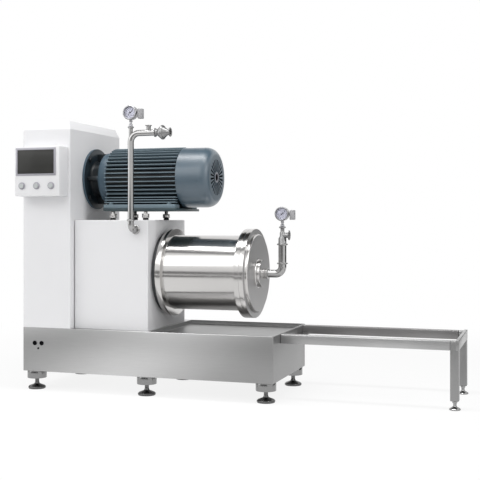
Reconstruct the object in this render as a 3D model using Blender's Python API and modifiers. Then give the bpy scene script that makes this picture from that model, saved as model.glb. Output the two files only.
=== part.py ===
"""Horizontal bead mill: a belt driven wet grinding machine on a long steel base.

Machine frame while modelling: X runs along the machine from the drive column to the stand,
Y runs from the operator's side to the back, Z is up, and the corner of the base at the
operator's left is X = 0, Y = 0 on the floor. The machine_origin empty moves all of it so
that the part stands on the middle of its own footprint. Lengths are metres.
"""

import math

import bmesh
import bpy
from mathutils import Vector

# Clearances
SEAT = 0.0003
RUN = 0.0005

# Base, deck and drip tray
BASE_LENGTH = 1.678
BASE_WIDTH = 0.755
BASE_BOTTOM = 0.120
BASE_TOP = 0.401
BASE_SHEET = 0.004
BASE_EDGE = 0.003
TRAY_DEPTH = 0.030
TRAY_WALL = 0.0025
TRAY_FLOOR = 0.004

# Levelling feet under the base
FOOT_INSET = 0.064
FOOT_SLEEVE_RADIUS = 0.062
FOOT_SLEEVE_HEIGHT = 0.050
FOOT_SLEEVE_WELD = 0.010
FOOT_STEM_RADIUS = 0.016
FOOT_PAD_RADIUS = 0.056
FOOT_PAD_EDGE = 0.012
FOOT_PAD_HEIGHT = 0.030

# Column that covers the belt drive
COLUMN_WIDTH = 0.338
COLUMN_DEPTH = 0.722
COLUMN_SHOULDER = 1.669
COLUMN_TOP = 1.725
COLUMN_TAPER = 0.022
COLUMN_SHEET = 0.004
PANEL_SHEET = 0.002
PANEL_LAP = 0.014
PANEL_MARGIN_Y = 0.095
PANEL_LOW = 0.520
PANEL_HIGH = 1.590
LOUVRE_COUNT = 8
LOUVRE_PITCH = 0.034
LOUVRE_LENGTH = 0.220
LOUVRE_SLOT = 0.008

# Control box with its screen and push buttons
CONTROL_LEFT = 0.007
CONTROL_RIGHT = 0.323
CONTROL_LOW = 1.240
CONTROL_HIGH = 1.554
CONTROL_DEPTH = 0.114
CONTROL_EDGE = 0.010
BEZEL_MARGIN_LEFT = 0.011
BEZEL_WIDTH = 0.282
BEZEL_TOP_MARGIN = 0.011
BEZEL_HEIGHT = 0.174
BEZEL_FRAME = 0.012
BEZEL_PROUD = 0.005
SCREEN_SUNK = 0.002
BUTTON_XS = (0.060, 0.164, 0.267)
BUTTON_Z = 1.305
BUTTON_RADIUS = 0.0150
BUTTON_TRAVEL = 0.004
BUTTON_PROUD = 0.013
COLLAR_RADIUS = 0.0195
COLLAR_PROUD = 0.008

# Motor: flange and foot mounted, with a 200 mm shaft height
CENTRE_Y = 0.361
MOTOR_Z = 1.3635
MOTOR_FLANGE_RADIUS = 0.200
MOTOR_FLANGE_THICKNESS = 0.016
MOTOR_SPIGOT_RADIUS = 0.150
MOTOR_SPIGOT_LENGTH = 0.005
MOTOR_NECK_RADIUS = 0.113
BELL_START = 0.433
BELL_RADIUS = 0.170
FRAME_START = 0.491
FRAME_END = 0.985
FIN_TIP_RADIUS = 0.198
FIN_ROOT_RADIUS = 0.163
FIN_COUNT = 36
FIN_TIP_WIDTH = 0.009
FIN_ROOT_WIDTH = 0.014
FIN_FREE_ANGLE = 50.0
STATOR_RADIUS = 0.140
STATOR_BORE = 0.095
STATOR_START = 0.580
STATOR_END = 0.860
SHIELD_RIB = 0.028
SHIELD_RIB_RADIUS = 0.166
SHAFT_HEIGHT = 0.200
FOOT_SLAB = 0.026
FOOT_SLAB_WIDTH = 0.085
FOOT_SLAB_OUT = 0.200
FOOT_WEB = 0.040
WEB_ENTRY = 0.006
WEB_TOP_DROP = 0.075
FOOT_START = 0.499
FOOT_END = 0.982
COWL_RADIUS = 0.194
COWL_END = 1.187
COWL_SHEET = 0.0025
COWL_ROUND_LENGTH = 0.095
COWL_ROUND_DROP = 0.058
GRILLE_SLOTS = 24
GRILLE_INNER = 0.038
GRILLE_OUTER = 0.115
GRILLE_SLOT_WIDTH = 0.0085
GRILLE_HOLE = 0.025
ROTOR_SHAFT_RADIUS = 0.030
ROTOR_START = 0.120
ROTOR_STUB_END = 1.075
FAN_RADIUS = 0.150
FAN_START = 1.032
FAN_DEPTH = 0.038
FAN_BLADES = 9
FAN_BLADE = 0.004
FAN_HUB_RADIUS = 0.060
MOTOR_BEARING_WIDTH = 0.029
TERMINAL_START = 0.560
TERMINAL_LENGTH = 0.180
TERMINAL_HEIGHT = 0.150
TERMINAL_DEPTH = 0.078
TERMINAL_LID = 0.014
GLAND_RADIUS = 0.018
GLAND_LENGTH = 0.030
PLATE_START = 0.492
PLATE_END = 0.998
PLATE_HALF_WIDTH = 0.204
PLATE_THICKNESS = 0.0155
JACK_XS = (0.546, 0.775)
JACK_OFFSET = 0.170
JACK_STEM_RADIUS = 0.012
JACK_NUT_RADIUS = 0.024
JACK_NUT_HEIGHT = 0.028
JACK_BASE_RADIUS = 0.019
JACK_BASE_HEIGHT = 0.012

# Belt drive
MILL_Z = 0.7525
BELT_COUNT = 4
BELT_PITCH = 0.019
GROOVE_DEPTH = 0.012
GROOVE_TOP = 0.013
GROOVE_BOTTOM = 0.008
BELT_SIDE_GAP = 0.0005
BELT_FLOAT = 0.0015
MOTOR_PULLEY_RADIUS = 0.105
MILL_PULLEY_RADIUS = 0.190
PULLEY_START = 0.140
PULLEY_RIM_WALL = 0.026
PULLEY_WEB = 0.018
PULLEY_HUB_RADIUS = 0.058
BELT_STEPS = 12
BELT_RISE = 0.0008
BELT_BAND = 0.003

# Drive housing between the column and the chamber
HOUSING_LEFT = 0.344
HOUSING_RIGHT = 0.852
HOUSING_FRONT = 0.051
HOUSING_BACK = 0.671
HOUSING_TOP = 1.090
HOUSING_SHEET = 0.008
CARTRIDGE_START = HOUSING_LEFT + 0.056
CARTRIDGE_END = HOUSING_RIGHT - 0.052
CARTRIDGE_RADIUS = 0.115
CARTRIDGE_FLANGE_RADIUS = 0.190
CARTRIDGE_FLANGE = 0.024
PEDESTAL_PLATE = 0.030
PEDESTAL_XS = (CARTRIDGE_START + 0.040, CARTRIDGE_END - 0.100)
PEDESTAL_FOOT = 0.025
PEDESTAL_HALF_WIDTH = 0.190
NECK_RADIUS = 0.258
SEAL_RADIUS = 0.062
SEAL_WIDTH = 0.030

# Grinding chamber
NECK_SHOWN = 0.031
CHAMBER_START = HOUSING_RIGHT + NECK_SHOWN
REAR_FLANGE = 0.036
FLANGE_RADIUS = 0.2815
JACKET_RADIUS = 0.2387
JACKET_WALL = 0.004
LINER_RADIUS = 0.190
LINER_WALL = 0.010
CHAMBER_LENGTH = 0.549
FRONT_FLANGE = 0.033
FRONT_FLANGE_START = CHAMBER_START + CHAMBER_LENGTH - FRONT_FLANGE
COVER_FLANGE = 0.029
COVER_DISC_RADIUS = 0.2475
COVER_DISC = 0.018
COVER_EDGE = 0.003
HUB_RADIUS = 0.0865
HUB_HEIGHT = 0.026
COVER_SPIGOT = 0.010

# Agitator shaft with its discs
SHAFT_START = 0.100
SHAFT_PULLEY_RADIUS = 0.034
SHAFT_BEARING_RADIUS = 0.042
SHAFT_CHAMBER_RADIUS = 0.034
SHAFT_NUT = 0.026
BEARING_RADIUS = 0.080
BEARING_WIDTH = 0.036
BEARING_XS = (CARTRIDGE_START + 0.030, CARTRIDGE_END - 0.070)
DISC_COUNT = 6
DISC_RADIUS = 0.155
DISC_THICKNESS = 0.012
DISC_FIRST = CHAMBER_START + 0.082
DISC_PITCH = 0.068
DISC_WINDOWS = 4
DISC_WINDOW_INNER = 0.075
DISC_WINDOW_OUTER = 0.128
DISC_WINDOW_HALF_ANGLE = 15.0
SPACER_RADIUS = 0.050
SCREEN_RADIUS = 0.052
SCREEN_WALL = 0.004
SCREEN_LENGTH = 0.070
SCREEN_SLOTS = 16
SCREEN_SLOT_WIDTH = 0.004

# Sanitary pipework
FEED_RADIUS = 0.019
FEED_WALL = 0.002
FEED_X = HOUSING_RIGHT - 0.083
FEED_Y = -0.021
FEED_PORT_Z = 1.031
FEED_JOINT_Z = 1.088
FEED_RUN_Z = 1.625
FEED_BEND = 0.055
FEED_ELBOW_BEND = 0.035
FEED_FERRULE_RADIUS = 0.0252
FEED_COLLAR_RADIUS = 0.030
FEED_COLLAR = 0.012
FERRULE = 0.0032
STUB_RADIUS = 0.012
FEED_STUB_TOP = 1.662
BRANCH_X = FEED_X + 0.119
BRANCH_RADIUS = 0.0142
BRANCH_TOP = 1.672
BRANCH_FERRULE_RADIUS = 0.021
SMALL_FERRULE_RADIUS = 0.019
VALVE_START = FEED_X + 0.164
VALVE_MID = VALVE_START + 0.049
VALVE_END = VALVE_START + 0.100
VALVE_FERRULE_RADIUS = 0.027
VALVE_BODY_RADIUS = 0.036
VALVE_CLAMP_RADIUS = 0.043
VALVE_CLAMP_HALF = 0.008
VALVE_WALL = 0.0025
VALVE_SEAT_DEPTH = 0.022
VALVE_SEAT_LENGTH = 0.012
POPPET_RADIUS = 0.023
POPPET_RIM = 0.005
POPPET_NOSE = 0.013
POPPET_STEM_RADIUS = 0.006
POPPET_SEAT_GAP = 0.0005
DISCHARGE_RADIUS = 0.025
DISCHARGE_WALL = 0.002
DISCHARGE_X = CHAMBER_START + CHAMBER_LENGTH + 0.201
DISCHARGE_BEND = 0.045
DISCHARGE_JOINTS = (0.818, 0.937)
DISCHARGE_FERRULE_RADIUS = 0.034
NIPPLE_RADIUS = 0.0315
NIPPLE_LENGTH = 0.030
TEE_NARROW_Z = 0.975
TEE_PORT_Z = 0.994
TEE_PORT_RADIUS = 0.0165
TEE_PORT_END = DISCHARGE_X + 0.045
TEE_NECK = 0.002
TEE_FERRULE_RADIUS = 0.031
DISCHARGE_STUB_TOP = 1.044
PORT_DEPTH = 0.024

# Gauges
FEED_GAUGE_Z = 1.751
DISCHARGE_GAUGE_Z = 1.128
GAUGE_RADIUS = 0.0445
GAUGE_DEPTH = 0.050
GAUGE_BEZEL = 0.0065
GAUGE_POCKET = 0.014
GAUGE_BACK_TAPER = 0.006
GAUGE_STEP = 0.002
WINDOW_THICKNESS = 0.003
NEEDLE_LENGTH = 0.026
NEEDLE_TAIL = 0.009
NEEDLE_HUB = 0.0042
NEEDLE_THICKNESS = 0.0012
NEEDLE_ANGLE = 45.0
STEM_TOP_RADIUS = 0.007
CONTACT_NECK = 0.006
CONTACT_WIDTH = 0.030
CONTACT_UP = 0.024
CONTACT_DOWN = 0.037
CONTACT_DEPTH = 0.036
CONTACT_STEP = 0.006

# Stand that carries the chamber when it is drawn off
STAND_START = BASE_LENGTH + SEAT
STAND_LENGTH = 1.0557
STAND_END = STAND_START + STAND_LENGTH
STAND_FRONT = 0.1535
STAND_BACK = 0.738
STAND_TOP = 0.3975
STAND_TUBE_HEIGHT = 0.055
STAND_TUBE_WIDTH = 0.050
STAND_LEG_BOTTOM = 0.0525
STAND_EDGE = 0.004
STAND_BAR_RISE = 0.004
STAND_FOOT_RADIUS = 0.033
STAND_FOOT_STEM = 0.0095
STAND_FOOT_ENTRY = 0.020
STAND_FOOT_PAD = 0.012

# Facets
FINE_SIDES = 24
ROUND_SIDES = 16
PIPE_SIDES = 12
SMALL_SIDES = 8

# Sizes that follow
DECK_END = HOUSING_RIGHT + 0.020
DECK_BOTTOM = BASE_TOP - TRAY_DEPTH
MOTOR_FACE = COLUMN_WIDTH + SEAT
MOTOR_FOOT_Z = MOTOR_Z - SHAFT_HEIGHT
PLATE_BOTTOM = MOTOR_FOOT_Z - SEAT - PLATE_THICKNESS
PULLEY_WIDTH = BELT_COUNT * BELT_PITCH + 0.006
CHAMBER_BODY_START = CHAMBER_START + REAR_FLANGE
COVER_START = FRONT_FLANGE_START + FRONT_FLANGE + SEAT
COVER_FACE = COVER_START + COVER_FLANGE + COVER_DISC
HUB_FACE = COVER_FACE + HUB_HEIGHT
NIPPLE_END = HUB_FACE + NIPPLE_LENGTH
CONTROL_FRONT = -SEAT - CONTROL_DEPTH
LEFT_END = -SEAT - PANEL_SHEET
RIGHT_END = STAND_END - STAND_TUBE_WIDTH / 2 + STAND_FOOT_RADIUS
FRONT_END = CONTROL_FRONT - BUTTON_PROUD
BACK_END = BASE_WIDTH

AXIS_TURN = {
    "X": (0.0, math.pi / 2, 0.0),
    "Y": (-math.pi / 2, 0.0, 0.0),
    "Z": (0.0, 0.0, 0.0),
}


def clear_scene():
    """Empty the file of its objects."""
    for thing in list(bpy.data.objects):
        bpy.data.objects.remove(thing, do_unlink=True)


def new_collection(name):
    """Make a collection under the scene."""
    made = bpy.data.collections.new(name)
    bpy.context.scene.collection.children.link(made)
    return made


def new_material(name, colour, roughness, metallic=0.0):
    """Make a Principled material."""
    made = bpy.data.materials.new(name)
    made.use_nodes = True
    shader = made.node_tree.nodes["Principled BSDF"]
    shader.inputs["Base Color"].default_value = (*colour, 1.0)
    shader.inputs["Roughness"].default_value = roughness
    shader.inputs["Metallic"].default_value = metallic
    return made


clear_scene()
PARTS = new_collection("bead_mill")
CUTTERS = new_collection("cutters")
ORIGIN = bpy.data.objects.new("machine_origin", None)
ORIGIN.location = (-(LEFT_END + RIGHT_END) / 2, -(FRONT_END + BACK_END) / 2, 0.0)
PARTS.objects.link(ORIGIN)

WHITE = new_material("white_enamel", (0.84, 0.85, 0.85), 0.40)
BLUE = new_material("blue_grey_enamel", (0.080, 0.115, 0.145), 0.42)
STEEL = new_material("brushed_stainless", (0.62, 0.61, 0.60), 0.32, 1.0)
POLISHED = new_material("polished_stainless", (0.80, 0.80, 0.80), 0.12, 1.0)
IRON = new_material("machined_iron", (0.24, 0.24, 0.25), 0.50, 1.0)
BLACK = new_material("black_rubber", (0.018, 0.018, 0.019), 0.75)
GLASS = new_material("dark_screen_glass", (0.045, 0.045, 0.043), 0.10)
CLEAR = new_material("window_glass", (0.86, 0.90, 0.92), 0.05)
SILVER = new_material("silver_plastic", (0.55, 0.54, 0.60), 0.35)
BUTTON = new_material("grey_button", (0.62, 0.62, 0.62), 0.45)
COPPER = new_material("winding_copper", (0.60, 0.28, 0.14), 0.45, 1.0)


def add_object(name, data, material, location=(0, 0, 0), turn=(0, 0, 0)):
    """Put mesh or curve data in the machine frame with its material."""
    made = bpy.data.objects.new(name, data)
    PARTS.objects.link(made)
    made.parent = ORIGIN
    made.location = location
    made.rotation_euler = turn
    if not data.materials:
        data.materials.append(material)
    return made


def guide(thing):
    """Keep an object as a cutter or a shape to join, out of the built parts."""
    PARTS.objects.unlink(thing)
    CUTTERS.objects.link(thing)
    thing.hide_render = True
    thing.display_type = "WIRE"
    return thing


def combine(target, tool, operation):
    """Cut or join a guide with an exact Boolean."""
    change = target.modifiers.new(operation.lower(), "BOOLEAN")
    change.operation = operation
    change.object = guide(tool)
    change.solver = "EXACT"


def cut(target, *tools):
    """Take each tool's shape out of the target."""
    for tool in tools:
        combine(target, tool, "DIFFERENCE")


def join(target, *tools):
    """Weld each tool's shape to the target."""
    for tool in tools:
        combine(target, tool, "UNION")


def round_edges(thing, width, segments=2):
    """Round the sharp edges of a piece."""
    bevel = thing.modifiers.new("rounded edges", "BEVEL")
    bevel.width = width
    bevel.segments = segments
    bevel.limit_method = "ANGLE"


def box(name, low, high, material, edge=0.0, segments=2):
    """Box between two corners of the machine frame."""
    low = Vector(low)
    high = Vector(high)
    shape = bmesh.new()
    bmesh.ops.create_cube(shape, size=1.0)
    bmesh.ops.scale(shape, vec=high - low, verts=shape.verts)
    mesh = bpy.data.meshes.new(name)
    shape.to_mesh(mesh)
    shape.free()
    made = add_object(name, mesh, material, (low + high) / 2)
    if edge:
        round_edges(made, edge, segments)
    return made


def seat_for(radius, sides=ROUND_SIDES, gap=SEAT):
    """Corner radius of a faceted seat whose flats lie off a like-faceted piece by the gap."""
    return radius + gap / math.cos(math.pi / sides)


def bore_for(radius, sides=ROUND_SIDES, gap=SEAT):
    """Corner radius of a faceted bore whose flats clear a shaft by the gap."""
    return (radius + gap) / math.cos(math.pi / sides)


def turned(name, outline, axis, centre, material, sides=ROUND_SIDES):
    """Solid of revolution from a loop of (distance along the axis, radius) points."""
    pairs = list(zip(outline, outline[1:] + outline[:1]))
    area = sum(r1 * a2 - r2 * a1 for (a1, r1), (a2, r2) in pairs)
    points = outline if area < 0 else outline[::-1]
    count = len(points)
    loop = [(i, (i + 1) % count) for i in range(count)]
    edges = [(i, j) for i, j in loop if points[i][1] > 0 or points[j][1] > 0]
    mesh = bpy.data.meshes.new(name)
    mesh.from_pydata([(radius, 0.0, along) for along, radius in points], edges, [])
    made = add_object(name, mesh, material, centre, AXIS_TURN[axis])
    spin = made.modifiers.new("turned", "SCREW")
    spin.angle = math.tau
    spin.steps = sides
    spin.render_steps = sides
    spin.use_smooth_shade = True
    spin.use_merge_vertices = True
    spin.merge_threshold = 0.00001
    return made


def rod(name, axis, centre, start, end, radius, material, sides=ROUND_SIDES):
    """Plain round bar along an axis."""
    outline = [(end, 0.0), (end, radius), (start, radius), (start, 0.0)]
    return turned(name, outline, axis, centre, material, sides)


def to_mesh(thing):
    """Turn a curve object into a welded mesh object of the same name."""
    bpy.context.view_layer.update()
    seen = thing.evaluated_get(bpy.context.evaluated_depsgraph_get())
    mesh = bpy.data.meshes.new_from_object(seen)
    shape = bmesh.new()
    shape.from_mesh(mesh)
    bmesh.ops.remove_doubles(shape, verts=shape.verts, dist=0.000001)
    shape.to_mesh(mesh)
    shape.free()
    name = thing.name
    place = thing.location.copy()
    turn = thing.rotation_euler.copy()
    material = thing.data.materials[0]
    bpy.data.objects.remove(thing, do_unlink=True)
    return add_object(name, mesh, material, place, turn)


def flat_point(axis, across, up):
    """Local point of a flat outline, from its two machine coordinates."""
    return {"X": (-up, across), "Y": (across, -up), "Z": (across, up)}[axis]


def plate(name, axis, centre, start, end, outlines, material):
    """Flat outlines, in the two machine coordinates across the axis, given a thickness."""
    curve = bpy.data.curves.new(name, "CURVE")
    curve.dimensions = "2D"
    curve.fill_mode = "BOTH"
    curve.extrude = (end - start) / 2
    for outline in outlines:
        spline = curve.splines.new("POLY")
        spline.points.add(len(outline) - 1)
        for point, (across, up) in zip(spline.points, outline):
            point.co = (*flat_point(axis, across, up), 0.0, 1.0)
        spline.use_cyclic_u = True
    middle = Vector(centre)
    middle["XYZ".index(axis)] += (start + end) / 2
    return add_object(name, curve, material, middle, AXIS_TURN[axis])


def ring_points(radius, count, first=0.0, last=math.tau):
    """Points on a circle, or on an arc of it."""
    full = abs(last - first - math.tau) < 1e-6
    steps = count if full else count - 1
    return [
        (radius * math.cos(first + (last - first) * i / steps),
         radius * math.sin(first + (last - first) * i / steps))
        for i in range(count)
    ]


def rounded_path(corners, bend, steps=6):
    """Route through square corners with each one bent to a radius."""
    route = [Vector(corners[0])]
    for before, corner, after in zip(corners, corners[1:], corners[2:]):
        corner = Vector(corner)
        way_in = (corner - Vector(before)).normalized()
        way_out = (Vector(after) - corner).normalized()
        middle = corner - way_in * bend + way_out * bend
        for step in range(steps + 1):
            angle = math.pi / 2 * step / steps
            route.append(middle - way_out * bend * math.cos(angle) + way_in * bend * math.sin(angle))
    route.append(Vector(corners[-1]))
    return route


def pipe(name, route, radius, material, resolution=3):
    """Round bar bent along a route."""
    curve = bpy.data.curves.new(name, "CURVE")
    curve.dimensions = "3D"
    curve.bevel_depth = radius
    curve.bevel_resolution = resolution
    curve.use_fill_caps = True
    spline = curve.splines.new("POLY")
    spline.points.add(len(route) - 1)
    for point, place in zip(spline.points, route):
        point.co = (*place, 1.0)
    return add_object(name, curve, material)


def hex_bar(name, axis, centre, start, end, radius, material):
    """Hexagonal bar along an axis."""
    return rod(name, axis, centre, start, end, radius, material, 6)


def merge_copies(name, pieces, material):
    """Keep several separate solids in one object."""
    bpy.context.view_layer.update()
    graph = bpy.context.evaluated_depsgraph_get()
    shape = bmesh.new()
    for piece in pieces:
        mesh = bpy.data.meshes.new_from_object(piece.evaluated_get(graph))
        mesh.transform(ORIGIN.matrix_world.inverted() @ piece.matrix_world)
        shape.from_mesh(mesh)
        bpy.data.meshes.remove(mesh)
    bmesh.ops.remove_doubles(shape, verts=shape.verts, dist=0.000001)
    merged = bpy.data.meshes.new(name)
    shape.to_mesh(merged)
    shape.free()
    for piece in pieces:
        bpy.data.objects.remove(piece, do_unlink=True)
    return add_object(name, merged, material)


def build_base():
    """Base box on its sleeved levelling feet, and the drip tray."""
    base = box("base_frame", (0, 0, BASE_BOTTOM), (BASE_LENGTH, BASE_WIDTH, BASE_TOP), STEEL, BASE_EDGE)
    pan_low = Vector((DECK_END, BASE_SHEET, DECK_BOTTOM))
    pan_high = Vector((BASE_LENGTH - BASE_SHEET, BASE_WIDTH - BASE_SHEET, BASE_TOP))
    slack = Vector((SEAT, SEAT, 0))
    cut(base, box("tray_seat", pan_low - Vector((0, 0, SEAT)), pan_high + Vector((0, 0, TRAY_DEPTH)), STEEL))
    tray = box("drip_tray", pan_low + slack, pan_high - slack, STEEL)
    shape = bmesh.new()
    shape.from_mesh(tray.data)
    top = [face for face in shape.faces if face.normal.z > 0.5]
    bmesh.ops.inset_region(shape, faces=top, thickness=TRAY_WALL)
    sunk = TRAY_DEPTH - TRAY_FLOOR
    pushed = bmesh.ops.extrude_discrete_faces(shape, faces=top)["faces"]
    bmesh.ops.translate(shape, verts=pushed[0].verts, vec=(0, 0, -sunk))
    shape.to_mesh(tray.data)
    shape.free()

    places = [
        (x, y)
        for y in (FOOT_INSET, BASE_WIDTH - FOOT_INSET)
        for x in (FOOT_INSET, BASE_LENGTH / 2, BASE_LENGTH - FOOT_INSET)
    ]
    sleeve_bottom = BASE_BOTTOM - FOOT_SLEEVE_HEIGHT
    feet = []
    for x, y in places:
        foot = [
            (BASE_BOTTOM + FOOT_SLEEVE_WELD, 0.0),
            (BASE_BOTTOM + FOOT_SLEEVE_WELD, FOOT_SLEEVE_RADIUS),
            (sleeve_bottom, FOOT_SLEEVE_RADIUS),
            (sleeve_bottom, FOOT_STEM_RADIUS),
            (FOOT_PAD_HEIGHT, FOOT_STEM_RADIUS),
            (FOOT_PAD_EDGE + 0.008, FOOT_PAD_RADIUS - 0.012),
            (FOOT_PAD_EDGE, FOOT_PAD_RADIUS),
            (0.0, FOOT_PAD_RADIUS),
            (0.0, 0.0),
        ]
        feet.append(turned("foot", foot, "Z", (x, y, 0), POLISHED, SMALL_SIDES))
    join(base, merge_copies("levelling_feet", feet, POLISHED))


def column_shell():
    """Folded sheet cover with a tapered head, open underneath."""
    shape = bmesh.new()
    bmesh.ops.create_cube(shape, size=1.0)
    low = Vector((0, 0, BASE_TOP + SEAT))
    high = Vector((COLUMN_WIDTH, COLUMN_DEPTH, COLUMN_SHOULDER))
    bmesh.ops.scale(shape, vec=high - low, verts=shape.verts)
    bmesh.ops.translate(shape, vec=(low + high) / 2, verts=shape.verts)
    floor = [face for face in shape.faces if face.normal.z < -0.5]
    bmesh.ops.delete(shape, geom=floor, context="FACES_ONLY")
    roof = [face for face in shape.faces if face.normal.z > 0.5]
    head = bmesh.ops.extrude_face_region(shape, geom=roof)
    bmesh.ops.delete(shape, geom=roof, context="FACES_ONLY")
    for item in head["geom"]:
        if isinstance(item, bmesh.types.BMVert):
            inward_x = COLUMN_TAPER if item.co.x < COLUMN_WIDTH / 2 else -COLUMN_TAPER
            inward_y = COLUMN_TAPER if item.co.y < COLUMN_DEPTH / 2 else -COLUMN_TAPER
            item.co += Vector((inward_x, inward_y, COLUMN_TOP - COLUMN_SHOULDER))
    bmesh.ops.recalc_face_normals(shape, faces=shape.faces)
    mesh = bpy.data.meshes.new("column_cover")
    shape.to_mesh(mesh)
    shape.free()
    shell = add_object("column_cover", mesh, WHITE)
    wall = shell.modifiers.new("sheet", "SOLIDIFY")
    wall.thickness = COLUMN_SHEET
    wall.offset = -1.0
    wall.use_even_offset = True
    return shell


def build_column():
    """Column cover and its louvred service panel."""
    shell = column_shell()
    open_low = (-0.05, PANEL_MARGIN_Y + PANEL_LAP, PANEL_LOW + PANEL_LAP)
    open_high = (COLUMN_WIDTH / 2, COLUMN_DEPTH - PANEL_MARGIN_Y - PANEL_LAP, PANEL_HIGH - PANEL_LAP)
    spigot_hole = seat_for(MOTOR_SPIGOT_RADIUS, FINE_SIDES)
    shaft_way = SHAFT_BEARING_RADIUS + 0.020
    half = COLUMN_WIDTH / 2
    cut(
        shell,
        box("service_opening", open_low, open_high, WHITE),
        rod("motor_opening", "X", (half, CENTRE_Y, MOTOR_Z), 0, half + 0.05, spigot_hole, WHITE, FINE_SIDES),
        rod("shaft_opening", "X", (half, CENTRE_Y, MILL_Z), 0, half + 0.05, shaft_way, WHITE),
    )
    outside = -SEAT - PANEL_SHEET
    panel_low = (outside, PANEL_MARGIN_Y, PANEL_LOW)
    panel_high = (-SEAT, COLUMN_DEPTH - PANEL_MARGIN_Y, PANEL_HIGH)
    panel = box("service_panel", panel_low, panel_high, WHITE)
    middle_y = COLUMN_DEPTH / 2
    slots = []
    for row in range(LOUVRE_COUNT):
        z = PANEL_LOW + 0.120 + row * LOUVRE_PITCH
        slots.append(box(
            "slot",
            (outside - 0.01, middle_y - LOUVRE_LENGTH / 2, z),
            (0.01, middle_y + LOUVRE_LENGTH / 2, z + LOUVRE_SLOT),
            WHITE,
        ))
    cut(panel, merge_copies("louvre_slots", slots, WHITE))


def build_control_box():
    """Control box with button collars, screen and its frame, and three push buttons."""
    body = box(
        "control_box",
        (CONTROL_LEFT, CONTROL_FRONT, CONTROL_LOW),
        (CONTROL_RIGHT, -SEAT, CONTROL_HIGH),
        WHITE,
        CONTROL_EDGE,
        2,
    )
    left = CONTROL_LEFT + BEZEL_MARGIN_LEFT
    right = left + BEZEL_WIDTH
    high = CONTROL_HIGH - BEZEL_TOP_MARGIN
    low = high - BEZEL_HEIGHT
    back = CONTROL_FRONT - SEAT
    front = CONTROL_FRONT - BEZEL_PROUD
    bezel = box("screen_bezel", (left, front, low), (right, back, high), SILVER, 0.0015, 1)
    cut(bezel, box(
        "screen_opening",
        (left + BEZEL_FRAME, front - 0.01, low + BEZEL_FRAME),
        (right - BEZEL_FRAME, back + 0.01, high - BEZEL_FRAME),
        SILVER,
    ))
    inner = BEZEL_FRAME + SEAT
    box(
        "touch_screen",
        (left + inner, front + SCREEN_SUNK, low + inner),
        (right - inner, back, high - inner),
        GLASS,
    )
    collars = []
    collar_bore = seat_for(BUTTON_RADIUS, PIPE_SIDES, RUN)
    for name, x in zip(("start_button", "stop_button", "reset_button"), BUTTON_XS):
        centre = (x, CONTROL_FRONT, BUTTON_Z)
        collar = [
            (0.002, collar_bore),
            (0.002, COLLAR_RADIUS),
            (-COLLAR_PROUD * 0.7, COLLAR_RADIUS),
            (-COLLAR_PROUD, COLLAR_RADIUS - 0.002),
            (-COLLAR_PROUD, collar_bore),
        ]
        collars.append(turned("collar", collar, "Y", centre, POLISHED, PIPE_SIDES))
        cap = [
            (-SEAT - BUTTON_TRAVEL - RUN, 0.0),
            (-SEAT - BUTTON_TRAVEL - RUN, BUTTON_RADIUS),
            (-BUTTON_PROUD + 0.0015, BUTTON_RADIUS),
            (-BUTTON_PROUD, BUTTON_RADIUS - 0.0015),
            (-BUTTON_PROUD + 0.0008, BUTTON_RADIUS * 0.55),
            (-BUTTON_PROUD + 0.0010, 0.0),
        ]
        turned(name, cap, "Y", centre, BUTTON, PIPE_SIDES)
    join(body, merge_copies("button_collars", collars, POLISHED))


def finned_outline():
    """Section of the motor frame: fins all round but for the foot."""
    points = []
    pitch = math.tau / FIN_COUNT
    for number in range(FIN_COUNT):
        middle = number * pitch
        from_bottom = abs((math.degrees(middle) - 270 + 180) % 360 - 180)
        if from_bottom < FIN_FREE_ANGLE:
            points.append((FIN_ROOT_RADIUS * math.cos(middle), FIN_ROOT_RADIUS * math.sin(middle)))
            continue
        for width, radius, side in (
            (FIN_ROOT_WIDTH, FIN_ROOT_RADIUS, -1),
            (FIN_TIP_WIDTH, FIN_TIP_RADIUS, -1),
            (FIN_TIP_WIDTH, FIN_TIP_RADIUS, 1),
            (FIN_ROOT_WIDTH, FIN_ROOT_RADIUS, 1),
        ):
            angle = middle + side * math.asin(width / 2 / radius)
            points.append((radius * math.cos(angle), radius * math.sin(angle)))
    return points


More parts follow.
